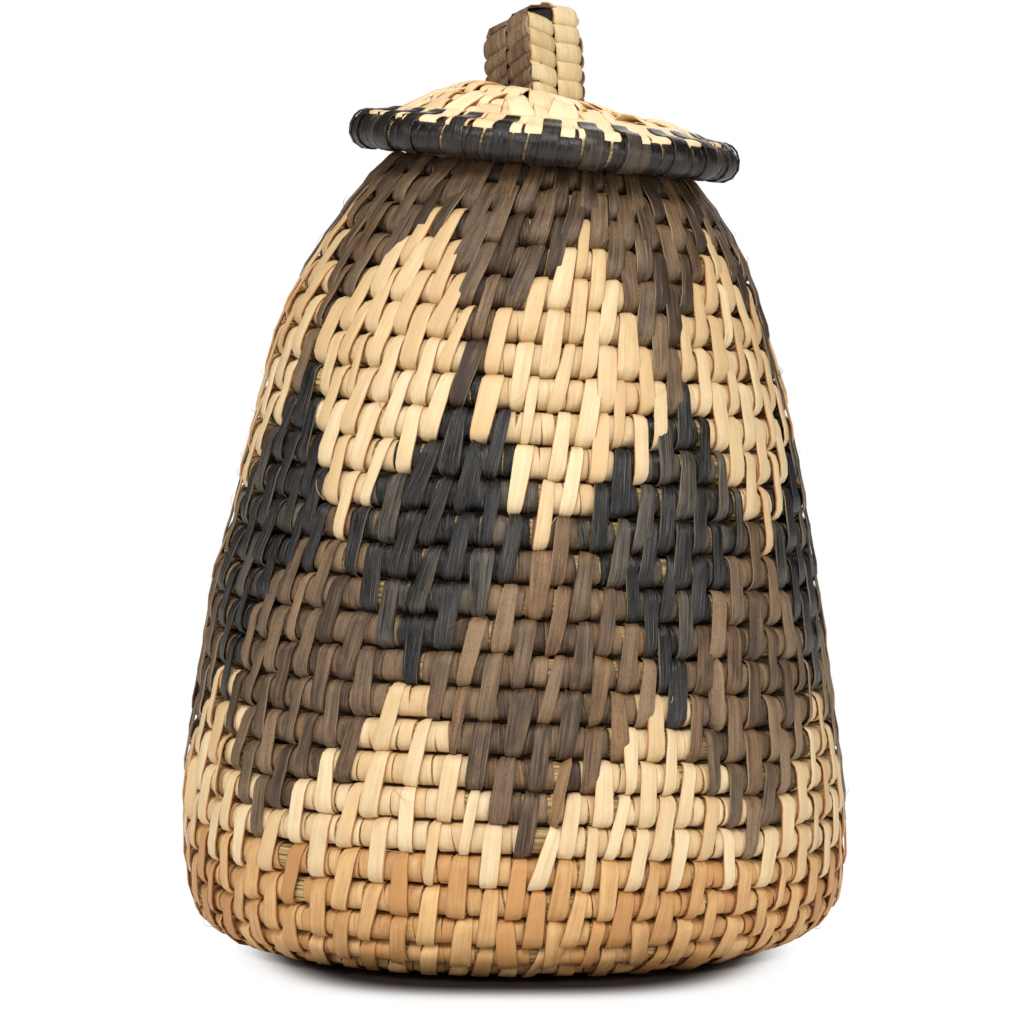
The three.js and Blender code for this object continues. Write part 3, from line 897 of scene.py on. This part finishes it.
def hair(surface, line, angle, length, heading):
    """A thread from a place on the crest, in a heading that turns as it goes. It lifts off in the middle."""
    share = np.linspace(0, 1, HAIR_STEPS)
    way = heading + rng.normal(0, 0.7) * share
    across = np.cumsum(np.cos(way)) * length / HAIR_STEPS
    up = np.cumsum(np.sin(way)) * length / HAIR_STEPS
    depth = HAIR_DEPTH - HAIR_RISE * np.sin(math.pi * share * rng.uniform(0.55, 0.9))
    thread = HAIR_THICKNESS * (1 - HAIR_TAPER * share)[:, None]
    turn = angle + np.degrees(across / surface.crest_radius(line))[:, None]
    width = np.degrees(thread * np.cos(HAIR_CORNERS) / surface.crest_radius(line))
    rise = (up[:, None] + thread * np.sin(HAIR_CORNERS)) / float(surface.row_height(line))
    return surface.place(line + rise, depth[:, None] + thread * np.sin(HAIR_CORNERS), turn + width)


hairs = {colour: [] for colour in COLOURS}
for line in rng.uniform(0.5, 24, HAIRS):
    spots = hair(basket, line, coil_angle(line), rng.uniform(3, 11), rng.uniform(0, 6.28))
    hairs[colour_at(line - 0.5)].append((spots, HAIR_TRAITS))
for colour, shapes in hairs.items():
    piece = tubes(colour + "_fibres", shapes, [0.5] * (len(HAIR_CORNERS) + 1), palms[colour + "_palm"])
    dress(piece, "basket", colour + "_palm")

# %% [markdown]
# The lid sits askew, down to the right, so it has a frame of its own: the middle of its rim, tilted.
# Its dome is coiled outwards from the knob, so the same surface serves, with its outside on the other side.

# %% Lid frame and dome
LID_TILT = 5.5
LID_MIDDLE = np.mean(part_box("lid_rim"), axis=0) / MM
LID_ROWS = 4
HOLE_RADIUS = 11.35
DOME_OUTLINE = [(3.6, 11.6), (HOLE_RADIUS, 11.3), (24, 9.5), (37.78, 4.3)]
DOME_START, DOME_END = -0.95, 3.93
KNOB_MIDDLE = -3.0
CROWN_TILT, RIGHT_TILT = 0.1, 0.09  # the crown leans more than the rim, most of all on the right half
CROWN_REACH = 30


def turning(axis, degrees):
    return np.array(Matrix.Rotation(math.radians(degrees), 3, axis)).T


LID_TURN = turning("Y", LID_TILT)


def on_lid(spots, line=None):
    return spots @ LID_TURN + LID_MIDDLE


def on_dome(spots, line):
    middle = np.clip(1 - np.hypot(spots[..., 0], spots[..., 1]) ** 2 / CROWN_REACH**2, 0, 1)
    spots[..., 2] -= (CROWN_TILT + RIGHT_TILT * (spots[..., 0] > 0)) * middle * spots[..., 0]
    spots[..., 0] += KNOB_MIDDLE * np.clip(1 - line / LID_ROWS, 0, 1)
    return on_lid(spots)


def dome_lengths(length):
    hole = length[knots[1]]
    out = hole + (length[-1] - hole) * np.clip(dome_lines, 0, None) / LID_ROWS
    return out + hole * np.clip(dome_lines, None, 0)


dome_outline, knots = smooth_outline(DOME_OUTLINE)
dome_lines = np.linspace(-1, LID_ROWS, 400)
dome = CoiledSurface(dome_outline, dome_lengths, dome_lines, on_dome, side=-1)
print("row height on the dome, mm:", round(float(dome.row_height(2.0)), 2))
dress(coil_core("lid_grass_coil", dome, DOME_START, DOME_END, 80), "lid", "grass", "lid_coil")

# %% [markdown]
# The rows of the lid are sewn like the wall's, with broader and looser strips.
# A collar under the dome is sewn the same way later, so one function sews both.

# %% Sew the dome
LID_WRAP_LENGTH = 22


def sew_rows(name, surface, places, shape, stitch_length, wraps, material):
    """Sews a coil of the lid. The shape is the widths, leans, lifts and rolls of its long stitches."""
    spots = stitch_spots(surface, places, *shape)
    traits = strip_traits(len(places))
    piece = stamp(name + "_long_stitches", stitch_unit, spots, stitch_length, traits, palms[material])
    dress(piece, "lid", "cream_palm")
    wraps = wraps_between(surface, *wraps)
    traits = strip_traits(len(wraps[0]))
    spots = wrap_spots(surface, *wraps)
    piece = stamp(name + "_short_wraps", wrap_unit, spots, LID_WRAP_LENGTH, traits, palms[material])
    dress(piece, "lid", "cream_palm")


places = long_stitches(dome, -0.8, 3.86, lambda line: 7.5 + line, 1.1)
count = len(places)
widths, leans = np.clip(rng.normal(5.0, 0.7, count), 3.6, 6.3), rng.normal(0.6, 1.2, count)
lifts, rolls = np.abs(rng.normal(0.1, 0.12, count)), rng.normal(0, 0.12, count)
sew_rows("lid", dome, places, (widths, leans, lifts, rolls), 36, (places, 4.6, 3.6, 0.03, 3.9), "lid_painted_light_palm")

# %% [markdown]
# Where strips go round something that isn't a row, such as the rim, they are bands on a closed path.
# A path is a ring of places in the plane of radius and height, and each band has its own angle on the lid.
# The first bands are the strips round the knob, which close the hole in the middle of the dome.

# %% Strips round the knob
BAND_THICKNESS = 0.38
CROWN_STRIPS = 19
CROWN_STEPS = [
    (-0.3, 2.0), (-0.22, -0.4), (-0.05, -1.3), (0.25, -1.8), (0.6, -1.8), (0.9, -1.3), (1.08, -0.2),
    (1.12, 1.4), (0.9, 3.0), (0.4, 3.2), (-0.1, 3.2),
]  # row line and depth


def spaced(count, jitter):
    """Angles of a number of strips round the lid, nearly evenly spaced."""
    return (np.arange(count) + rng.normal(0, jitter, count)) * 360 / count


def bind(name, paths, angles, widths, leans, length, material, slot, *replaced, settle=on_lid):
    """Makes a piece of bands that go round closed paths of radius and height, at angles round the lid."""
    ahead = np.roll(paths, -1, axis=1) - np.roll(paths, 1, axis=1)
    out = np.stack([ahead[..., 1], -ahead[..., 0]], axis=-1)
    out /= np.linalg.norm(out, axis=-1, keepdims=True)
    a, b = (np.array(x)[None, None, :] for x in zip(*STRIP_SECTION))
    radius, height = (paths[..., i, None] + out[..., i, None] * b * BAND_THICKNESS for i in (0, 1))
    middle = (paths[..., 1] - paths[..., 1].mean(axis=1, keepdims=True))[..., None]
    spread = widths[:, None, None] / 2 * a + leans[:, None, None] * middle
    spots = settle(ring_place(radius, height, angles[:, None, None] + np.degrees(spread / radius)))
    unit = unit_ring(STRIP_SECTION, paths.shape[1])
    piece = stamp(name, unit, spots, length, strip_traits(len(paths)), palms[material])
    dress(piece, "lid", slot, *replaced)


angles = spaced(CROWN_STRIPS, 0.15)
line, depth = (np.array(x)[None, :] for x in zip(*CROWN_STEPS))
line = line + np.clip(line, 0, 1) * rng.uniform(-0.1, 0.25, (CROWN_STRIPS, 1))
depth = depth + rng.uniform(-0.1, 0.5, (CROWN_STRIPS, 1)) * (depth < 0)
paths = np.stack(dome.profile(line, depth), axis=-1)
widths = np.clip(rng.normal(5.2, 0.6, CROWN_STRIPS), 4.0, 6.4)
leans = rng.normal(0.3, 0.3, CROWN_STRIPS)
bind(
    "lid_crown_strips", paths, angles, widths, leans, 24, "lid_painted_light_palm", "cream_palm",
    settle=lambda spots: on_dome(spots, line[..., None]),
)

# %% [markdown]
# The rim is a thicker bundle, bound all the way round with dark strips that nearly touch.
# A torus with grooves would show no edges of strips, so it is a grass ring under eighty-six bands.

# %% Rim
RIM_RADIUS, RIM_TUBE = 41.65, 4.15
RIM_WRAPS, RIM_STEPS = 86, 24
GRASS_STEPS, GRASS_CORNERS, GRASS_START, GRASS_GAP = 150, 12, -0.6, 0.05
grass_tube = RIM_TUBE - BAND_THICKNESS - GRASS_GAP
corner = np.radians(np.arange(GRASS_CORNERS) * 360 / GRASS_CORNERS)
turn = np.arange(GRASS_STEPS)[:, None] * 360 / GRASS_STEPS + GRASS_START
ring = on_lid(ring_place(RIM_RADIUS + grass_tube * np.cos(corner), grass_tube * np.sin(corner), turn))
rim_core = tubes("rim_grass", [(ring, PLAIN)], np.linspace(0, 1, GRASS_CORNERS + 1), grass)
dress(rim_core, "lid", "grass")
angles = spaced(RIM_WRAPS, 0.06)
turn = np.arange(RIM_STEPS) * 2 * math.pi / RIM_STEPS
radius = RIM_TUBE - BAND_THICKNESS
path = np.stack([RIM_RADIUS + radius * np.cos(turn), radius * np.sin(turn)], axis=-1)
paths = np.repeat(path[None], RIM_WRAPS, axis=0)
widths, leans = rng.normal(3.1, 0.12, RIM_WRAPS), rng.normal(0.10, 0.05, RIM_WRAPS)
bind("rim_wraps", paths, angles, widths, leans, 26, "rim_palm", "rim_palm", "lid_rim")

# %% [markdown]
# Two sorts of strip join the dome and the rim. Light ones of the last row reach over the rim's inner side,
# and every few wraps a dark one goes further in, over the last row of the dome, and sews the rim to it.
# Both have to tuck in between rows, so their paths are taken from the dome's own profile.

# %% Edge of the dome
EDGE_STRIPS, EDGE_START = 45, 4


def rim_place(reach, turn):
    """Radius and height of a place round the middle of the rim's coil. Angle 0 faces out."""
    return RIM_RADIUS + reach * math.cos(math.radians(turn)), reach * math.sin(math.radians(turn))


def row_share(angles):
    """How far through its turn the dome's coil is at each angle."""
    return (SENSE * angles / 360 + ROW_LIFT - 0.6) % 1


def dome_path(line, places):
    return [dome.profile(line + more, depth) for more, depth in places]


angles = EDGE_START + spaced(EDGE_STRIPS, 0.1)
paths = []
for angle, line in zip(angles, 2.6 + row_share(angles)):
    rest = LID_ROWS - line
    tip = rng.normal(48, 3) + 30 * abs(math.sin(math.radians(angle))) ** 3
    over = [rim_place(RIM_TUBE + 0.24, t) for t in np.linspace(tip, 108, 5)]
    crest = dome_path(line, [(rest * 0.8, -0.25), (rest * 0.5, -0.6), (rest * 0.2, -0.4)])
    inner = dome_path(line, [(-0.05, 0.6), (0.02, 2.8), (0.5 * rest, 3.4)])
    back = [rim_place(1.0, 120), rim_place(RIM_TUBE - 1.5, tip - 12), rim_place(RIM_TUBE - 0.5, tip - 5)]
    paths.append(over + crest + inner + back)
widths = np.clip(rng.normal(5.3, 0.5, EDGE_STRIPS), 4.2, 6.2)
leans = rng.normal(0.06, 0.06, EDGE_STRIPS)
bind("lid_edge_strips", np.array(paths, float), angles, widths, leans, 30, "lid_painted_light_palm", "cream_palm")

# %% Rim stitches
RIM_SEWN = 25
OVER_TURNS, UNDER_TURNS = [-75, -45, -15, 15, 42, 60, 80, 100], [205, 235, 265]
angles = spaced(RIM_SEWN, 0.13)
paths = []
for line in 3.35 + 0.3 * row_share(angles):
    rest = LID_ROWS - line
    outer = [rim_place(RIM_TUBE + 0.12 + 0.42 * smooth_step(t, 25, 55), t) for t in OVER_TURNS]
    crest = dome_path(line, [(rest * share, -0.7) for share in (0.85, 0.55, 0.28, 0.1)])
    inner = dome_path(line, [(-0.04, 0.6), (-0.03, 4.5), (0.2, 6.9)])
    back = [rim_place(RIM_TUBE, t) for t in UNDER_TURNS]
    paths.append(outer + crest + inner + back)
widths = np.clip(rng.normal(4.1, 0.35, RIM_SEWN), 3.2, 4.8)
leans = rng.normal(0.05, 0.06, RIM_SEWN)
bind("rim_stitches", np.array(paths, float), angles, widths, leans, 40, "rim_palm", "rim_palm")

# %% [markdown]
# Under the dome a collar of two more rows keeps the lid in the mouth.
# It is a short upright cylinder of coil, so its outline is a straight line.

# %% Collar
COLLAR_RADIUS, COLLAR_DEPTH, COLLAR_TOP, COLLAR_ROWS = 28.4, 13.8, 2.0, 2
COLLAR_STEPS = 60
COLLAR_FIRST = [-0.9, -0.55]  # its coil starts before its first long stitch
heights = np.linspace(COLLAR_TOP - COLLAR_DEPTH, COLLAR_TOP, COLLAR_STEPS)
collar_outline = np.stack([np.full(COLLAR_STEPS, COLLAR_RADIUS), heights], axis=1)
collar_lines = np.linspace(0, COLLAR_ROWS, COLLAR_STEPS)


def collar_lengths(length):
    return length[-1] * collar_lines / COLLAR_ROWS


collar = CoiledSurface(collar_outline, collar_lengths, collar_lines, on_lid)
dress(coil_core("collar_grass", collar, -0.93, 1.93, 70), "lid", "grass", "lid_collar")
places = long_stitches(collar, -0.2, 1.85, lambda line: 8.0, 0.8)
count = len(places)
widths, leans = rng.normal(4.4, 0.4, count), rng.normal(0.9, 0.6, count)
lifts, rolls = np.abs(rng.normal(0, 0.03, count)), rng.normal(0, 0.02, count)
wraps = (np.concatenate([COLLAR_FIRST, places]), 3.6, 3.4, 0.0, 1.9)
sew_rows("collar", collar, places, (widths, leans, lifts, rolls), 34, wraps, "cream_palm")

# %% [markdown]
# The knob is a square column, plaited of two brown and two cream strips that fold to and fro.
# Four real strips folded in turn would need their hidden parts too. What shows is their folds: five on each
# half of a face, so each fold is one tab that bulges out and tucks in under the one above.

# %% Knob tabs
KNOB_OFFSET, KNOB_LEAN, KNOB_TURN = -1.2, -9.0, 40.6
KNOB_FACE = 8.25
KNOB_STRETCH = (1.06, 1, 1)  # its cream faces are a little wider than its brown ones
TAB_SECTION = [
    (-1, 0.5), (-0.94, 1), (-0.5, 1.08), (0, 1.1), (0.5, 1.08), (0.94, 1), (1, 0.5),
    (0.94, 0), (0, 0), (-0.94, 0),
]
TAB_PATH = np.array([
    (-3.2, 0.62), (-1.5, 0.84), (-0.6, 0.9), (-0.14, 0.68), (0.08, 0.3), (0.1, -0.15), (-0.02, -0.6),
    (-0.35, -0.92), (-1.1, -1.06), (-2.2, -0.98), (-3.2, -0.8),
])
TAB_THICKNESS = 0.42
TAB_ENDS = {"brown": 8.1, "cream": 7.35}  # the brown folds cover the ends of the cream ones
# For each half of a face: the heights between its five tabs at the side nearer the ridge, and how they slope.
HALVES = {
    "brown": {
        1: ([30.7, 26.2, 22.3, 18.9, 15.3, 11.2], 0.43),
        -1: ([28.6, 24.0, 20.6, 17.2, 13.8, 10.2], 0.42),
    },
    "cream": {
        -1: ([31.4, 27.9, 24.1, 20.3, 15.8, 11.4], 0.34),
        1: ([32.6, 28.4, 24.2, 19.7, 15.5, 11.0], 0.16),
    },
}
FACE_COLOURS = ("cream", "brown", "cream", "brown")  # from the right front face, round to the right
BACK_FACE = 2
BACK_DROP = np.array([5.0, 3.6, 2.2, 1.2, 0.5, 0])  # the cream face at the back is lower at the top
SWELL, SWELL_LOSS, SWELL_MIDDLE, SWELL_HALF = 1.01, 0.045, 19, 11  # the column is widest in its middle
knob_turn = turning("Z", KNOB_TURN) @ turning("Y", KNOB_LEAN)


def face_place(out, across, height, quarter):
    """A place on a face of the knob. Across runs to the right, seen from outside the face."""
    swell = SWELL - SWELL_LOSS * ((height - SWELL_MIDDLE) / SWELL_HALF) ** 2
    spot = np.stack(np.broadcast_arrays(across * swell, -out * swell, height), axis=-1)
    spot = spot @ turning("Z", 90 * quarter) * KNOB_STRETCH
    return on_lid(spot @ knob_turn + np.array([KNOB_OFFSET, 0, 0]))


def outward(path):
    """Directions out of a path, square to it, as columns."""
    ahead = np.gradient(path, axis=0)
    out = np.stack([-ahead[:, 1], ahead[:, 0]], axis=1)
    out /= np.linalg.norm(out, axis=1)[:, None]
    return out[:, :1], out[:, 1:]


def tab(quarter, half, top, bottom, slope, ridge, end):
    """One fold of a strip: rings go down round the fold, corners go round the section of the strip."""
    out, up = outward(TAB_PATH * [1, (top - bottom) / 2])
    a, b = (np.array(x)[None, :] for x in zip(*TAB_SECTION))
    across = half * ((end + 0.1) / 2 + half * a * (end - 0.1) / 2)
    fall = slope * np.abs(across - (ridge * end if half == ridge else 0))
    high = (top - bottom) / 2 * (1 - 0.12 * np.abs(a) ** 6)
    height = (top + bottom) / 2 - fall + TAB_PATH[:, 1:] * high + up * b * TAB_THICKNESS
    reach = KNOB_FACE - 0.3 + TAB_PATH[:, :1] - 0.4 * np.abs(a) ** 4 + out * b * TAB_THICKNESS
    return face_place(reach, across, height, quarter)


tabs = {"brown": [], "cream": []}
for quarter, colour in enumerate(FACE_COLOURS):
    ridge = 1 if colour == "brown" else -1
    for half, (tops, slope) in HALVES[colour].items():
        tops = np.array(tops) - (BACK_DROP if quarter == BACK_FACE else 0)
        for top, bottom in zip(tops, tops[1:]):
            spots = tab(quarter, half, top, bottom, slope * rng.uniform(0.9, 1.1), ridge, TAB_ENDS[colour])
            tabs[colour].append((spots, (rng.normal(0, 0.2), rng.random(), rng.uniform(0.3, 1))))
print("knob tabs:", sum(len(shapes) for shapes in tabs.values()))

# %% [markdown]
# The upper end of each strip bends over the top of the column, over one crossing strip and under the next.
# Under the dome the four tails lie flat and hold the knob. Both are straps along a path on one face.

# %% Knob top and tails
STRAP_MIDDLE = 4.1
STRAPS = {
    3: (7.8, [
        (7.4, 27.2, 0.38), (8.0, 29.2, 0.38), (7.7, 30.9, 0.36), (6.2, 31.9, 0.25), (3.5, 32.4, 0.1),
        (0, 32.4, 0), (-3.5, 31.8, 0), (-6.3, 30.6, 0), (-7.4, 28.4, 0),
    ]),
    0: (7.6, [
        (7.5, 28.0, -0.1), (8.1, 29.8, -0.3), (7.7, 31.1, -0.42), (6.2, 31.9, -0.42), (3.8, 32.5, -0.3),
        (0.5, 31.4, 0), (-3.5, 30.4, 0), (-6.5, 29.8, 0), (-7.4, 28.2, 0),
    ]),
    1: (7.6, [
        (7.5, 27.2, 0.3), (8.0, 28.8, 0.3), (7.4, 29.9, 0.2), (5.5, 30.6, 0.1), (3.5, 30.9, 0),
        (0, 30.4, 0), (-3.5, 29.3, 0), (-6.6, 28.9, -0.2), (-7.5, 27.4, -0.35),
    ]),
    2: (6.8, [
        (7.3, 20.8, -0.2), (7.7, 22.4, -0.2), (7.2, 23.6, -0.1), (5.4, 24.7, 0), (3.2, 26.0, 0),
        (0, 27.8, 0), (-3.5, 29.2, 0), (-6.3, 29.4, 0), (-7.4, 28.2, 0),
    ]),
}  # by face: the strap's width, and places out, up and tilted
TAIL_WIDTH = 6.4
TAIL = [(1.5, 9, 0), (1.9, 5.5, 0), (2.8, 3.7, 0), (5.5, 3.1, 0), (10, 2.7, 0), (15.5, 1.7, 0)]


def strap(quarter, path, width, middle):
    """A strip through places out, up and tilted, on a face of the knob."""
    out_at, height_at, tilt = (np.array(x)[:, None] for x in zip(*path))
    out, up = outward(np.hstack([out_at, height_at]))
    a, b = (np.array(x)[None, :] for x in zip(*TAB_SECTION))
    side = a * width / 2
    height = height_at + tilt * side + up * b * TAB_THICKNESS
    return face_place(out_at + out * b * TAB_THICKNESS, middle + side, height, quarter)


for quarter, (width, path) in STRAPS.items():
    spots = strap(quarter, path, width, STRAP_MIDDLE)
    tabs[FACE_COLOURS[quarter]].append((spots, (0.1, 0.9, rng.uniform(0.3, 1))))
for quarter, colour in enumerate(FACE_COLOURS):
    tabs[colour].append((strap(quarter, TAIL, TAIL_WIDTH, 0), (-0.2, 0.5, rng.random())))
print("tabs, straps and tails:", {colour: len(shapes) for colour, shapes in tabs.items()})

# %% [markdown]
# Inside the column the real strips are packed in the dark. A dark block stands for them, and a smaller one
# closes the top, where the straps leave a gap. Their dark colour is painted shade. Both follow the column's
# lean, because they use its faces.

# %% Knob filling
SQUARE = np.array([
    (1, 0.86), (0.86, 1), (-0.86, 1), (-1, 0.86), (-1, -0.86), (-0.86, -1), (0.86, -1), (1, -0.86)
])
# Rings of the block: half width, height, and how much it rises outwards.
BLOCK_RINGS = [
    (0.3, 4.5, 0), (6.7, 4.6, 0), (6.9, 12, 0), (6.9, 22, 0.2), (5.9, 25.6, 0.35), (0.3, 27.6, 0.35)
]
# Rings of the plug: its size, height, and how much of the fall to the left it has.
PLUG_RINGS = [(0.2, 28.0, 0), (1, 28.1, 0), (1, 31.95, 1), (0.2, 32.0, 1)]
PLUG_MIDDLE, PLUG_HALF = (4.2, -2.8), (3.3, 4.3)
PLUG_FALL, FALL_START, FALL_REACH = 0.27, -3.5, 6
size, high, slope = (np.array(x)[:, None] for x in zip(*BLOCK_RINGS))
out, across = size * SQUARE[:, 0], size * SQUARE[:, 1]
block = face_place(out, across, high + slope * out, 0)
size, high, slope = (np.array(x)[:, None] for x in zip(*PLUG_RINGS))
out, across = (PLUG_MIDDLE[i] + PLUG_HALF[i] * size * SQUARE[:, i] for i in (0, 1))
fall = slope * np.clip(FALL_START - across, 0, FALL_REACH) * PLUG_FALL
plug = face_place(out, across, high - fall, 0)
filling = [(block, PLAIN), (plug, PLAIN)]
piece = tubes("knob_filling", filling, np.linspace(0, 1, len(SQUARE) + 1), palms["knob_filling"])
dress(piece, "lid", "brown_palm")

# %% Knob strips
for colour, shapes in tabs.items():
    material = palms["knob_palm" if colour == "cream" else "brown_palm"]
    piece = tubes(colour + "_knob_strips", shapes, [*width_map(TAB_SECTION), 0], material)
    dress(piece, "lid", colour + "_palm", colour + "_strand_1", colour + "_strand_2")

# %% [markdown]
# The studio is a wide pale floor under a white sky. The floor has to look plain white away from the basket.
# Brighter lamps would wash the basket out, so the floor fades to a white glow that only the camera sees.
# Under the basket it has a painted shadow: a soft dark patch, rounded at its corners.

# %% Floor
FLOOR_HALF = 4
SHADOW_PATCH_SCALE, SHADOW_PATCH_SHIFT = (1.3, 1, 0), (0, 0.012, 0)
SHADOW_PATCH_POWER = 3.0  # 2 would be a round patch, and more is squarer
PAINTED_SHADOW_EDGE, GLOW_EDGE = (0.062, 0.082), (0.068, 0.086)
# The dark patch colour is painted shadow under the basket.
PAINTED_SHADOW_COLOUR, FLOOR_COLOUR = (0.03, 0.022, 0.018, 1), (0.85, 0.85, 0.85, 1)


def seen_rays(tree):
    """1 for a ray that shows the background itself."""
    rays = node(tree, "ShaderNodeLightPath")
    return math_node(tree, "MAXIMUM", rays.outputs["Is Camera Ray"], rays.outputs["Is Transmission Ray"])


def mix_shader(tree, factor, a, b):
    made = node(tree, "ShaderNodeMixShader")
    for socket, source in zip(made.inputs, (factor, a, b)):
        link(tree, source, socket)
    return made.outputs[0]


material, tree, shader = new_material("studio_floor")
shader.inputs["Roughness"].default_value = 1.0
shader.inputs["Specular IOR Level"].default_value = 0.0
place = node(tree, "ShaderNodeTexCoord")
shift = node(tree, "ShaderNodeVectorMath", operation="MULTIPLY_ADD")
feed(tree, shift.inputs, (place.outputs["Object"], SHADOW_PATCH_SCALE, SHADOW_PATCH_SHIFT))
axes = node(tree, "ShaderNodeSeparateXYZ")
link(tree, shift.outputs[0], axes.inputs[0])
sides = [math_node(tree, "ABSOLUTE", side) for side in axes.outputs[:2]]
sides = [math_node(tree, "POWER", side, SHADOW_PATCH_POWER) for side in sides]
reach = math_node(tree, "POWER", math_node(tree, "ADD", *sides), 1 / SHADOW_PATCH_POWER)
shade = mix_colour(tree, ranged(tree, reach, *PAINTED_SHADOW_EDGE, smooth=True), PAINTED_SHADOW_COLOUR, FLOOR_COLOUR)
link(tree, shade, shader.inputs["Base Color"])
glow = node(tree, "ShaderNodeEmission").outputs[0]
faded = mix_shader(tree, ranged(tree, reach, *GLOW_EDGE, smooth=True), shader.outputs[0], glow)
surface = mix_shader(tree, seen_rays(tree), shader.outputs[0], faded)
link(tree, surface, tree.nodes["Material Output"].inputs["Surface"])
bm = bmesh.new()
bmesh.ops.create_grid(bm, x_segments=1, y_segments=1, size=FLOOR_HALF)
mesh = bpy.data.meshes.new("studio_floor")
bm.to_mesh(mesh)
bm.free()
floor = add_piece("studio_floor", mesh, material)
floor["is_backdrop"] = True
print("floor of", 2 * FLOOR_HALF, "m, with", len(tree.nodes), "nodes")

# %% [markdown]
# The sky lights the basket a little from all round, and less in its glossy parts. The camera sees it white.
# One lamp would leave the sides black. So the main one is a large soft lamp above the front, with weaker ones
# over, behind and on both sides, and the stitches have soft shadows under them.

# %% Sky
world = bpy.data.worlds.new("studio")
scene.world = world
world.use_nodes = True
sky = world.node_tree
lit, shown = sky.nodes["Background"], node(sky, "ShaderNodeBackground")
glints = node(sky, "ShaderNodeLightPath").outputs["Is Glossy Ray"]
link(sky, mix_colour(sky, glints, (0.3, 0.3, 0.3, 1), (0.08, 0.08, 0.08, 1)), lit.inputs["Color"])
shown.inputs["Color"].default_value = (1, 1, 1, 1)
chosen = mix_shader(sky, seen_rays(sky), lit.outputs[0], shown.outputs[0])
link(sky, chosen, sky.nodes["World Output"].inputs["Surface"])
print("sky nodes:", len(sky.nodes))

# %% Lamps
LAMPS = {
    "high_front": ((-0.1, -0.9, 0.98), (0, 0, 0.09), 0.5, 10.6),
    "above": ((0, -0.1, 1.3), (0, 0, 0.2), 0.8, 3.6),
    "behind": ((0.3, 1.2, 0.7), (0, 0, 0.09), 0.8, 2.6),
    "left_fill": ((-1.1, -0.7, 0.42), (0, 0, 0.08), 0.6, 4.4),
    "right_fill": ((1.1, -0.75, 0.3), (0, 0, 0.06), 0.6, 5.4),
}  # place, aim, size in metres and watts
for name, (place, aim, size, watts) in LAMPS.items():
    data = bpy.data.lights.new(name, "AREA")
    data.shape = "DISK"
    data.size = size
    data.energy = watts
    aimed(name, data, place, aim)
print("lamps:", ", ".join(LAMPS))

# %% Finish
low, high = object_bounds()
print("dressed box in mm:", [round(1000 * (b - a), 1) for a, b in zip(low, high)])
